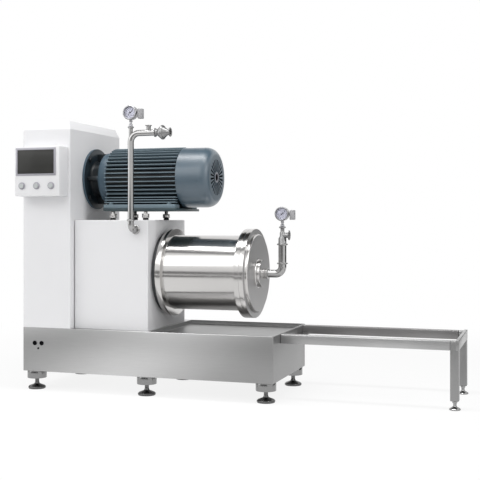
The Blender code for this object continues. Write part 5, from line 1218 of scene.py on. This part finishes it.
class MILL_OT_motor(Operator):
    """Finned motor with its shield, feet, slotted cowl, plate, jacks and terminal box."""

    bl_idname = "mill.motor"
    bl_label = "Build motor"

    def execute(self, context):
        sizes = context.scene.mill_motor
        axis = middle("cooling_fan")
        self.make_shield(sizes, axis)
        self.make_frame(sizes, axis)
        self.make_cowl(sizes, axis)
        self.make_plate(axis)
        self.make_terminal_box()
        return {"FINISHED"}

    def make_shield(self, sizes, axis):
        """Flange, neck and bell of the drive end with four ribs and four bolts."""
        start = low("motor_end_shield").x + SHIELD_SPIGOT
        end = high("motor_end_shield").x - start
        flange = 0.016
        spigot = 0.150
        bell = 0.095
        shaft = 0.032
        shield = ring("drive_end_shield", "X", (start, axis.y, axis.z), [
            (-SHIELD_SPIGOT, shaft), (-SHIELD_SPIGOT, spigot), (0, spigot), (0, sizes.flange),
            (flange, sizes.flange), (flange, sizes.neck + 0.010), (0.026, sizes.neck),
            (bell - 0.018, sizes.neck), (bell - 0.006, sizes.bell - 0.016), (bell, sizes.bell - 0.004),
            (bell + 0.008, sizes.bell), (end, sizes.bell), (end, shaft),
        ], 0.0016, BARREL_SIDES, segments=3)
        parts = [shield]
        half = 0.012
        for number in range(4):
            rib = block("rib", (start + 0.012, axis.y + sizes.neck * 0.9, axis.z - half),
                        (start + bell + 0.004, axis.y + sizes.bell - 0.004, axis.z + half), 0.003)
            parts.append(swing(rib, "X", -math.tau * number / 4, axis))
        circle = 0.175
        for number in range(4):
            angle = math.tau * (number + 0.5) / 4
            place = (start + flange, axis.y + circle * math.cos(angle), axis.z + circle * math.sin(angle))
            parts.append(hex_bolt("bolt", "X", place, 0.0155, 0.011))
        fit(merged("drive_end_shield", parts), "machine", "shield", "motor_end_shield")

    def make_frame(self, sizes, axis):
        """Frame with its barrel, fins, feet and the webs over them."""
        start = low("motor_frame")
        end = high("motor_frame")
        length_x = end.x - start.x
        bore_radius = 0.141
        barrel = ring("frame_barrel", "X", (start.x, axis.y, axis.z), [
            (0, bore_radius), (0, sizes.fin_root), (length_x, sizes.fin_root), (length_x, bore_radius),
        ], 0.0, BARREL_SIDES)
        parts = [barrel] + self.make_fins(sizes, axis, start.x + 0.001, end.x - 0.001)
        webs = []
        for side in (-1, 1):
            parts += self.make_side_feet(axis, start, end, side)
            web = sorted((axis.y + side * 0.119, axis.y + side * 0.150))
            webs.append(block("web", (start.x + 0.001, web[0], start.z + 0.020),
                              (end.x - 0.001, web[1], axis.z - 0.090), 0.004, 3))
        # The webs take painted shade: near-black paint where they lie in shadow over the feet
        fit(merged("foot_webs", webs), "machine", "painted_shade")
        fit(merged("finned_frame", parts), "machine", "fins", "motor_frame")

    def make_fins(self, sizes, axis, start, end):
        """Fins that thin towards their tips, all round but for the underside between the feet."""
        half = sizes.fin_foot / 2
        open_below = 36
        fin = block("fin", (start, axis.y + sizes.fin_root - 0.004, axis.z - half),
                    (end, axis.y + sizes.fin_tip, axis.z + half))
        edit_faces(fin, (0, 1, 0))
        thin = (1, 1, sizes.fin_width / sizes.fin_foot * 0.62)
        bpy.ops.transform.resize(value=thin, center_override=(0, axis.y + sizes.fin_tip, axis.z))
        leave_edit()
        soften(fin, 0.0018, 3)
        fins = []
        for number in range(sizes.fins):
            angle = math.tau * number / sizes.fins
            off_bottom = abs((math.degrees(angle) - 270 + 180) % 360 - 180)
            if off_bottom >= open_below:
                fins.append(turned_copy(fin, angle, axis))
        bpy.data.objects.remove(fin, do_unlink=True)
        return fins

    def make_side_feet(self, axis, start, end, side):
        """Ledges, foot slab and hold-down bolts of one side."""
        slab_height = 0.026
        parts = []
        lowest = 0.036
        inner = 0.140
        outer = 0.190
        draw_in = 0.35
        thickness = 0.0065
        for rise in (lowest, 0.052, 0.068):
            ledge = sorted((axis.y + side * inner, axis.y + side * (outer - draw_in * (rise - lowest))))
            parts.append(block("ledge", (start.x + 0.001, ledge[0], start.z + rise),
                               (end.x - 0.001, ledge[1], start.z + rise + thickness), 0.0018))
        slab = sorted((axis.y + side * 0.115, axis.y + side * 0.200))
        parts.append(block("slab", (start.x, slab[0], start.z),
                           (end.x, slab[1], start.z + slab_height), 0.003, 3))
        inset = 0.045
        row = 0.178
        for x in (start.x + inset, end.x - inset):
            place = (x, axis.y + side * row, start.z + slab_height)
            parts.append(hex_bolt("foot_bolt", "Z", place, 0.014, 0.011))
        return parts

    def make_cowl(self, sizes, axis):
        """Pressed cowl with a rounded end, slots, a rolled hole and a dark disc behind the slots as painted
        shade.
        """
        start = low("fan_cowl").x
        end = high("fan_cowl").x - start + sizes.cowl_reach
        wall = 0.0013
        bead = 0.0015
        steps = 10
        round_start = end - sizes.cowl_round
        face = sizes.cowl - sizes.cowl_drop
        barrel = sizes.cowl - bead
        outer = [(0, sizes.cowl), (0.010, sizes.cowl), (0.014, barrel), (round_start, barrel)]
        for step in range(1, steps + 1):
            angle = math.pi / 2 * step / steps
            outer.append((round_start + sizes.cowl_round * math.sin(angle),
                          face + (sizes.cowl_drop - bead) * math.cos(angle)))
        outer.append((end, sizes.hole))
        inner = [(min(along, end - wall), radius - (wall if radius > face + 0.001 else 0))
                 for along, radius in reversed(outer)]
        inner[-1] = (0, sizes.cowl - wall)
        cowl = ring("cowl_shell", "X", (start, axis.y, axis.z), outer + inner, 0.0, RING_SIDES)
        smooth(carve(cowl, self.make_slots(sizes, axis, start + end)))
        lip = sizes.hole - 0.001
        roll = sizes.hole + 0.006
        hole_ring = ring("cowl_hole_ring", "X", (start + end, axis.y, axis.z), [
            (-0.003, lip), (0.001, lip), (0.001, roll), (-0.003, roll),
        ], 0.0008)
        # The dark disc behind the slots is painted shade, so that the slots read dark
        mesh = sizes.slot_outer + 0.006
        shade_disc = turned("cowl_guard", "X", (start, axis.y, axis.z), [
            (end - wall - 0.0012, mesh), (end - wall - 0.0004, mesh),
        ], 0.0)
        fit(shade_disc, "machine", "dark")
        fit(cowl, "machine", "motor", "fan_cowl")
        fit(hole_ring, "machine", "silver")

    def make_slots(self, sizes, axis, face):
        """Cutters for the grille's slots, each narrower towards the centre."""
        half = sizes.slot_width / 2
        reach = 0.02
        slot = block("slot", (face - reach, axis.y + sizes.slot_inner, axis.z - half),
                     (face + reach, axis.y + sizes.slot_outer, axis.z + half))
        edit_faces(slot, (0, -1, 0))
        bpy.ops.transform.resize(value=(1, 1, 0.55), center_override=(0, 0, axis.z))
        leave_edit()
        slots = [turned_copy(slot, math.tau * (number + 0.5) / sizes.slots, axis)
                 for number in range(sizes.slots)]
        bpy.data.objects.remove(slot, do_unlink=True)
        return merged("slots", slots)

    def make_plate(self, axis):
        """Foot plate on its four jacks."""
        start = low("motor_base_plate")
        end = high("motor_base_plate")
        underside = end.z - 0.0155
        plate = block("foot_plate", (start.x, start.y, underside), end, 0.0012)
        fit(plate, "machine", "plate", "motor_base_plate")
        foot = 0.0185
        nut = 0.024
        stem = 0.0115
        inset = 0.054
        span = 0.229
        row = 0.170
        jacks = []
        pads = []
        for x in (start.x + inset, start.x + inset + span):
            for y in (axis.y - row, axis.y + row):
                spot = Vector((x, y, start.z))
                pads.append(turned("jack_pad", "Z", spot, [(0, foot), (0.010, foot), (0.014, 0.015)], 0.0008,
                                   PIPE_SIDES))
                jacks.append(turned("jack_nut", "Z", spot, [(0.014, nut), (0.040, nut)], 0.0014, HEXAGON))
                jacks.append(turned("jack_stem", "Z", spot, [
                    (0.010, stem), (underside - start.z, stem),
                ], 0.0004, BOLT_SIDES))
        fit(merged("plate_jacks", jacks), "machine", "polished")
        fit(merged("jack_pads", pads), "machine", "rubber")

    def make_terminal_box(self):
        """Terminal box on the far side with its lid, screws and cable gland."""
        body_low = low("terminal_box")
        body_high = high("terminal_box")
        lid_low = low("terminal_box_lid")
        lid_high = high("terminal_box_lid")
        gland = 0.018
        nose = 0.0126
        centre = ((body_low.x + body_high.x) / 2, (body_low.y + body_high.y) / 2, 0)
        parts = [
            block("terminal_case", (body_low.x, body_low.y, lid_low.z), body_high, 0.006, 3),
            turned("gland_nut", "Z", centre, [
                (lid_low.z - 0.015, gland), (lid_low.z + 0.002, gland),
            ], 0.0012, HEXAGON),
            turned("gland_nose", "Z", centre, [
                (body_low.z, 0.0095), (body_low.z + 0.004, nose), (lid_low.z - 0.010, nose),
            ], 0.0008, BOLT_SIDES),
        ]
        fit(merged("terminal_case", parts), "machine", "motor", "terminal_box")
        fit(block("terminal_lid", lid_low, lid_high, 0.005, 3), "machine", "motor", "terminal_box_lid")
        inset = 0.014
        places = [(x, lid_high.y, z) for x in (lid_low.x + inset, lid_high.x - inset)
                  for z in (lid_low.z + inset, lid_high.z - inset)]
        fit(screws("terminal_screws", "Y", places, 0.0050, 0.0026), "machine", "chrome")


def turned_copy(piece, angle, axis):
    """Copy of a piece turned about the motor's axis."""
    pick(piece)
    bpy.ops.object.duplicate(linked=False)
    return swing(bpy.context.object, "X", -angle, axis)


# Pipework and gauges


def ferrule(axis, centre, joint, radius, tube, cone, side):
    """Clamp ferrule that ends at a joint, with its cone to the tube on the side given as 1 or -1."""
    outline = [(joint + side * cone, tube), (joint + side * RIM, radius), (joint, radius)]
    return turned("ferrule", axis, centre, outline if side < 0 else outline[::-1])


def ferrule_pair(axis, centre, joint, radius, tube):
    """Two clamp ferrules face to face with the clamp groove between them."""
    groove = radius - 0.0016
    return turned("joint", axis, centre, [
        (joint - RIM - 0.003, tube), (joint - RIM, radius), (joint - 0.0004, radius),
        (joint - 0.0002, groove), (joint + 0.0002, groove), (joint + 0.0004, radius),
        (joint + RIM, radius), (joint + RIM + 0.003, tube),
    ], 0.0005, PIPE_SIDES)


class MILL_OT_feed(Operator):
    """Feed elbow, riser with its bend and branch, and the check valve."""

    bl_idname = "mill.feed"
    bl_label = "Build feed line"

    def execute(self, context):
        sizes = context.scene.mill_pipes
        riser = middle("valve_clamp")
        x = (low("feed_elbow").x + high("feed_elbow").x) / 2
        line = Vector((x, riser.y, 0))
        self.make_elbow(sizes, line)
        self.make_riser(sizes, line, riser.z)
        self.make_valve(sizes, riser)
        return {"FINISHED"}

    def make_elbow(self, sizes, line):
        """Elbow from the housing's wall up to the first joint."""
        wall = low("drive_housing").y
        port = low("feed_elbow").z + FEED_PORT
        joint = high("feed_elbow").z
        collar = 0.030
        corners = [(line.x, wall + 0.006, port), (line.x, line.y, port), (line.x, line.y, joint)]
        elbow = bent_tube("feed_elbow_tube", corners, sizes.elbow_bend, sizes.feed)
        base = turned("collar", "Y", (line.x, wall, port), [
            (-SEAT, collar), (-0.0072, collar), (-0.012, 0.026), (-0.012, 0.0185),
        ], 0.0012)
        top = ferrule("Z", line, joint, sizes.feed_ferrule, sizes.feed, FEED_CONE, -1)
        fit(merged("feed_elbow_tube", [elbow, base, top]), "machine", "pipe", "feed_elbow")

    def make_riser(self, sizes, line, run):
        """Riser and level run, with the gauge's stub over the bend and the capped branch port."""
        foot = low("feed_pipe").z
        run_end = high("feed_pipe").x
        peak = high("feed_pipe").z
        gauge = low("feed_gauge_case").z
        branch_offset = 0.119
        branch_tube = 0.0142
        end_rim = 0.027
        branch = Vector((line.x + branch_offset, line.y, 0))
        corners = [(line.x, line.y, foot), (line.x, line.y, run), (run_end, line.y, run)]
        parts = [
            bent_tube("feed_riser", corners, sizes.feed_bend, sizes.feed),
            ferrule("Z", line, foot, sizes.feed_ferrule, sizes.feed, FEED_CONE, 1),
            ferrule("X", (0, line.y, run), run_end, end_rim, sizes.feed, FEED_CONE, -1),
            turned("stub", "Z", line, [
                (run - 0.030, STUB), (gauge - STUB_CONE, STUB), (gauge - 0.0035, STUB_RIM),
                (gauge - SEAT, STUB_RIM),
            ]),
            turned("branch", "Z", branch, [
                (run, branch_tube), (peak - STUB_CONE, branch_tube), (peak - RIM, BRANCH_RIM),
                (peak, BRANCH_RIM),
            ]),
        ]
        fit(merged("feed_riser", parts), "machine", "pipe", "feed_pipe")

    def make_valve(self, sizes, centre):
        """Two cones held by a clamp ring round the poppet."""
        origin = (0, centre.y, centre.z)
        start = low("valve_outlet_half").x
        end = high("valve_inlet_half").x
        split = centre.x
        lip = 0.004
        rim = 0.040
        room = 0.0335
        cone = 0.0205
        seat = 0.006
        rear = start + seat
        outlet = ring("valve_outlet_cone", "X", origin, [
            (start, seat), (start, 0.027), (start + RIM, 0.027), (start + FEED_CONE, sizes.feed),
            (start + 0.013, sizes.feed), (start + 0.017, cone), (split - 0.016, 0.0345),
            (split - 0.013, 0.036), (split - lip, 0.036), (split - lip, rim), (split - CONTACT, rim),
            (split - CONTACT, room), (split - 0.012, room), (start + 0.016, 0.015), (rear, 0.015),
            (rear, seat),
        ])
        fit(outlet, "machine", "fitting", "valve_outlet_half")
        inlet = ring("valve_inlet_cone", "X", origin, [
            (split + CONTACT, room), (split + CONTACT, rim), (split + lip, rim), (split + lip, 0.036),
            (split + 0.014, 0.0325), (end - 0.021, cone), (end - 0.017, sizes.feed),
            (end - FEED_CONE, sizes.feed), (end - RIM, 0.028), (end, 0.028), (end, 0.017),
            (end - 0.022, 0.017), (end - 0.034, 0.0275), (split + 0.008, room),
        ])
        fit(inlet, "machine", "fitting", "valve_inlet_half")
        inner = 0.0363
        groove = 0.0405
        clamp = ring("valve_clamp_ring", "X", origin, [
            (split - 0.008, inner), (split - 0.008, 0.041), (split - lip, 0.044), (split + lip, 0.044),
            (split + 0.008, 0.041), (split + 0.008, inner), (split + 0.0046, inner), (split + 0.0046, groove),
            (split - 0.0046, groove), (split - 0.0046, inner),
        ])
        fit(clamp, "machine", "fitting", "valve_clamp")


class MILL_OT_discharge(Operator):
    """Discharge elbow and riser, tee and side port."""

    bl_idname = "mill.discharge"
    bl_label = "Build discharge line"

    def execute(self, context):
        sizes = context.scene.mill_pipes
        axis = middle("end_cover")
        line = Vector((high("discharge_elbow").x - sizes.discharge_ferrule, axis.y, 0))
        self.make_elbow(sizes, line, axis.z)
        self.make_tee(sizes, line)
        self.make_port(line)
        return {"FINISHED"}

    def make_elbow(self, sizes, line, run):
        """Elbow from the cover's nipple and the riser over it, with a joint between them."""
        start = low("discharge_elbow").x
        top = high("discharge_elbow").z
        joint = 0.818
        radius = sizes.discharge_ferrule
        corners = [(start, line.y, run), (line.x, line.y, run), (line.x, line.y, top)]
        parts = [
            bent_tube("discharge_elbow_tube", corners, sizes.discharge_bend, sizes.discharge),
            ferrule("X", (start, line.y, run), 0, radius, sizes.discharge, DISCHARGE_CONE, 1),
            ferrule_pair("Z", line, joint, radius, sizes.discharge),
            ferrule("Z", line, top, radius, sizes.discharge, DISCHARGE_CONE, -1),
        ]
        fit(merged("discharge_elbow_tube", parts), "chamber", "pipe", "discharge_elbow")

    def make_tee(self, sizes, line):
        """Tee that narrows above its joint, with the side neck and the gauge's joint."""
        foot = low("discharge_tee").z
        peak = high("discharge_tee").z
        port = middle("discharge_port").z
        body = 0.0165
        shoulder = 0.973
        tee = turned("discharge_tee_body", "Z", line, [
            (foot, sizes.discharge_ferrule), (foot + RIM, sizes.discharge_ferrule),
            (foot + DISCHARGE_CONE, sizes.discharge), (shoulder, sizes.discharge),
            (shoulder + 0.005, 0.0235), (shoulder + 0.013, 0.0178), (shoulder + 0.017, body),
            (port + body, body), (port + 0.0225, STUB),
            (peak - STUB_CONE, STUB), (peak - RIM, BRANCH_RIM), (peak, BRANCH_RIM),
        ], 0.0008)
        neck = turned("neck", "X", (line.x, line.y, port), [(0, 0.0162), (0.0270, 0.0162)], 0.0, PIPE_SIDES)
        fit(merged("discharge_tee_body", [tee, neck]), "chamber", "fitting", "discharge_tee")

    def make_port(self, line):
        """Side port with its wide ferrule."""
        start = low("discharge_port").x
        reach = high("discharge_port").x - start
        rim = 0.031
        outlet = turned("discharge_outlet", "X", (start, line.y, middle("discharge_port").z), [
            (0, 0.0165), (reach - STUB_CONE, 0.0165), (reach - RIM, rim), (reach, rim), (reach, 0.0145),
            (reach - 0.014, 0.0145),
        ])
        fit(outlet, "chamber", "fitting", "discharge_port")


class MILL_OT_gauges(Operator):
    """Both contact gauges with dial, ticks, numbers, needle, window and contact box."""

    bl_idname = "mill.gauges"
    bl_label = "Build gauges"

    def execute(self, context):
        sizes = context.scene.mill_pipes
        gauges = (("feed_gauge", "machine", STUB_RIM), ("discharge_gauge", "chamber", BRANCH_RIM))
        for name, body, joint in gauges:
            spot = middle(name + "_window")
            centre = Vector((spot.x, middle(name + "_case").y, spot.z))
            pocket = sizes.gauge - sizes.bezel
            self.make_case(name, body, centre, sizes.gauge, pocket, joint)
            self.make_dial(name, body, centre, pocket)
            self.make_needle(name, centre)
            self.make_contact_box(name, body)
            self.make_window(name, body, spot)
        return {"FINISHED"}

    def make_case(self, name, body, centre, radius, pocket, joint):
        """Case with a stepped bezel and its stem."""
        half = 0.025
        front = -half
        barrel = radius - 0.002
        hole = 0.012
        case = ring(name + "_case_shell", "Y", centre, [
            (front + 0.001, pocket), (front, pocket + 0.0012), (front, radius - 0.0025),
            (front + 0.0025, radius), (front + 0.011, radius), (front + 0.012, barrel), (0.019, barrel),
            (0.0235, radius - 0.005), (half, radius - 0.010), (half, hole), (front + 0.014, hole),
            (front + 0.014, pocket),
        ], 0.0007, BARREL_SIDES)
        plug = turned("plug", "Y", centre, [(front + 0.0141, 0.0125), (0.0255, 0.0125)], sides=PIPE_SIDES)
        foot = low(name + "_case").z
        line = (centre.x, centre.y, 0)
        stem = turned("stem", "Z", line, [
            (foot, joint), (foot + RIM, joint), (foot + 0.0066, STUB), (foot + 0.017, STUB),
            (foot + 0.021, 0.0075), (centre.z - radius + 0.006, 0.0072),
        ])
        nut_top = centre.z - radius - 0.001
        nut = turned("stem_nut", "Z", line, [(nut_top - 0.011, 0.0105), (nut_top, 0.0105)], 0.0008, HEXAGON)
        fit(merged(name + "_case_shell", [case, plug, stem, nut]), body, "gauge", name + "_case")

    def make_dial(self, name, body, centre, pocket):
        """Dial plate with ticks and plain numbers."""
        disc = pocket - 0.0006
        plate = turned(name + "_dial", "Y", centre, [(-0.0112, disc), (-0.0104, disc)], 0.0, BARREL_SIDES)
        fit(plate, body, "dial")
        face = centre.y - 0.0113
        first = 225
        sweep = 270
        ticks = 40
        numbers = 5
        marks = []
        for number in range(ticks + 1):
            long = number % (ticks // numbers) == 0
            inner = pocket - (0.0062 if long else 0.0040)
            half = 0.00028 if long else 0.00014
            tick = block("tick", (centre.x + inner, face - 0.0001, centre.z - half),
                         (centre.x + pocket - 0.0018, face + 0.0002, centre.z + half))
            marks.append(swing(tick, "Y", math.radians(first - number * sweep / ticks), centre))
        reach = pocket - 0.0122
        for number in range(numbers + 1):
            angle = math.radians(first - number * sweep / numbers)
            place = (centre.x + reach * math.cos(angle), face, centre.z + reach * math.sin(angle))
            marks.append(self.make_number(str(number * 2), place))
        fit(merged(name + "_marks", marks), body, "tick")

    def make_number(self, words, place):
        """One flat number on the dial."""
        clear_selection()
        bpy.ops.object.text_add(location=(0, 0, 0))
        label = bpy.context.object
        label.data.body = words
        label.data.size = 0.0048
        label.data.align_x = "CENTER"
        label.data.align_y = "CENTER"
        bpy.ops.object.convert(target="MESH")
        label = bpy.context.object
        label.rotation_euler = (math.pi / 2, 0, 0)
        label.location = place
        return settle(label, "number")

    def make_needle(self, name, centre):
        """Tapered needle with its hub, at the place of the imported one."""
        node = name + "_needle"
        near = low(node).y
        far = high(node).y
        back = 0.020
        reach = 0.0255
        thin = 0.0007
        wide = 0.0024
        tail = block("tail", (centre.x - back, near, centre.z - thin), (centre.x, far, centre.z + thin))
        arm = block("arm", (centre.x, near, centre.z - wide), (centre.x + reach, far, centre.z + wide))
        edit_faces(arm, (1, 0, 0))
        bpy.ops.transform.resize(value=(1, 1, 0.3), center_override=centre)
        leave_edit()
        needle = swing(merged("needle", [arm, tail]), "Y", math.radians(45), centre)
        hub = turned("hub", "Y", (centre.x, near, centre.z), [(-0.0006, 0.0034), (0.0012, 0.0042)],
                     0.0002, BOLT_SIDES)
        fit(merged(name + "_pointer", [needle, hub]), name.replace("gauge", "needle"), "ink", node)

    def make_contact_box(self, name, body):
        """Plastic contact box beside the case with its neck, gland and screws."""
        node = name + "_contact_box"
        start = low(node)
        end = high(node)
        under = ((start.x + end.x) / 2 + 0.002, (start.y + end.y) / 2, start.z)
        parts = [
            block("box", (start.x + 0.006, start.y, start.z), end, 0.0035, 3),
            block("neck", (start.x, start.y + 0.004, end.z - 0.034),
                  (start.x + 0.010, end.y - 0.004, end.z - 0.014), 0.0008),
            turned("gland", "Z", under, [(0.002, 0.0085), (0.0002, 0.0085)], 0.0003, BOLT_SIDES),
        ]
        fit(merged(name + "_switch_box", parts), body, "box", node)
        places = [(x, start.y, z) for x in (start.x + 0.011, end.x - 0.005)
                  for z in (start.z + 0.006, end.z - 0.006)]
        fit(screws(name + "_switch_screws", "Y", places, 0.0016, 0.0006, side=-1), body, "chrome")

    def make_window(self, name, body, spot):
        """Glass in front of the dial."""
        node = name + "_window"
        start = low(node)
        end = high(node)
        radius = (end.x - start.x) / 2
        thickness = end.y - start.y
        pane = turned(name + "_glass", "Y", (spot.x, start.y, spot.z), [(0, radius), (thickness, radius)],
                      0.0003, BARREL_SIDES)
        fit(pane, body, "glass", node)


# Stand


class MILL_OT_stand(Operator):
    """Stand of square tube with its end frame and feet."""

    bl_idname = "mill.stand"
    bl_label = "Build stand"

    def execute(self, context):
        sizes = context.scene.mill_cabinet
        self.make_rails(sizes)
        self.make_end_frame(sizes)
        for node in ("stand_foot_front", "stand_foot_back"):
            self.make_foot(node)
        return {"FINISHED"}

    def make_rails(self, sizes):
        """Two rails and the angle bar between them next to the base."""
        near_low = low("stand_near_bar")
        near_high = high("stand_near_bar")
        # The back rail takes the darker brushed copy, painted shade
        for node, kind in (("stand_rail_front", "brushed"), ("stand_rail_back", "brushed_shade")):
            corner = low(node)
            piece = block(node + "_tube", (near_low.x, corner.y, corner.z), high(node), sizes.tube_edge, 4)
            fit(piece, "machine", kind, node)
        front = high("stand_rail_front").y
        back = low("stand_rail_back").y
        leaf = sizes.angle_leaf
        corner = (near_low.x, front, near_low.z)
        upright = block("upright", corner, (near_low.x + leaf, back, near_high.z), 0.001)
        shelf = block("shelf", corner, (near_high.x, back, near_low.z + leaf), 0.001)
        fit(merged("stand_near_angle", [upright, shelf]), "machine", "brushed_cross", "stand_near_bar")

    def make_end_frame(self, sizes):
        """Bar across the end, a little proud of the two legs under it."""
        start = low("stand_end_frame")
        end = high("stand_end_frame")
        wide = end.x - start.x
        leg_top = high("stand_rail_front").z - 0.0005
        proud = Vector((0.0008, 0.0008, 0.0))
        bar_low = (end.x - sizes.end_bar, start.y - proud.y, low("stand_rail_front").z)
        bar = block("bar", bar_low, end + proud, 0.003, 3)
        legs = [block("leg", (start.x, y, start.z), (end.x, y + wide, leg_top), sizes.tube_edge, 4)
                for y in (start.y, end.y - wide)]
        fit(merged("stand_end_tubes", [bar] + legs), "machine", "brushed_up", "stand_end_frame")

    def make_foot(self, node):
        """Small levelling foot under a leg."""
        spot = middle(node)
        line = (spot.x, spot.y, 0)
        radius = (high(node).x - low(node).x) / 2
        underside = low("stand_end_frame").z
        stem = 0.0095
        pad = turned(node + "_pad", "Z", line, [
            (0.0, radius - 0.002), (0.002, radius), (0.007, radius), (0.011, radius * 0.86),
            (0.017, radius * 0.55), (0.021, 0.012), (0.026, stem), (underside + 0.0005, stem),
        ], 0.0008)
        across = 0.016
        nut = turned("nut", "Z", line, [(underside - 0.012, across), (underside - 0.001, across)],
                     0.0008, HEXAGON)
        fit(merged(node + "_pad", [pad, nut]), "machine", "chrome", node)


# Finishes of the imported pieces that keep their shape

INNER_KINDS = {
    "satin": ("agitator_rotor", "mill_shaft", "chamber_liner", "separator_screen", "seal_ring",
              "valve_poppet", "rotor_shaft", "mill_bearing_rear", "mill_bearing_front"),
    "iron": ("bearing_cartridge", "bearing_pedestal", "motor_pulley", "mill_pulley"),
    "rubber": ("cooling_fan", "drive_belt"),
    "motor": ("motor_rear_shield",),
    "copper": ("stator_core",),
}


class MILL_OT_finishes(Operator):
    """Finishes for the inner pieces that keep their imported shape."""

    bl_idname = "mill.finishes"
    bl_label = "Finish inner pieces"

    def execute(self, context):
        for kind, nodes in INNER_KINDS.items():
            for node in nodes:
                self.dress(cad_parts[node], finish(kind))
        return {"FINISHED"}

    def dress(self, thing, look):
        """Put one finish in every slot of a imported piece."""
        if not thing.material_slots:
            thing.data.materials.append(look)
        for slot in thing.material_slots:
            slot.material = look


class MILL_PT_panel(Panel):
    """Sizes, colours and steps of the bead mill."""

    bl_label = "Bead mill"
    bl_space_type = "VIEW_3D"
    bl_region_type = "UI"
    bl_category = "Bead mill"

    def draw(self, context):
        layout = self.layout
        for name in SETS:
            settings = getattr(context.scene, name)
            for field in settings.bl_rna.properties:
                if field.identifier not in ("rna_type", "name"):
                    layout.prop(settings, field.identifier)
        for step in STEPS:
            layout.operator(step.bl_idname)


STEPS = (
    MILL_OT_stage,
    MILL_OT_base,
    MILL_OT_column,
    MILL_OT_control,
    MILL_OT_housing,
    MILL_OT_chamber,
    MILL_OT_motor,
    MILL_OT_feed,
    MILL_OT_discharge,
    MILL_OT_gauges,
    MILL_OT_stand,
    MILL_OT_finishes,
)


def register():
    """Register the add-on's classes and its settings on the scene."""
    for kind in (*SETS.values(), *STEPS, MILL_PT_panel):
        bpy.utils.register_class(kind)
    for name, kind in SETS.items():
        setattr(bpy.types.Scene, name, PointerProperty(type=kind))


def unregister():
    """Take the add-on's classes and settings away."""
    for name in SETS:
        delattr(bpy.types.Scene, name)
    for kind in reversed((*SETS.values(), *STEPS, MILL_PT_panel)):
        bpy.utils.unregister_class(kind)


def main():
    """Build every piece."""
    register()
    for step in STEPS:
        group, name = step.bl_idname.split(".")
        getattr(getattr(bpy.ops, group), name)()


if __name__ == "__main__":
    main()
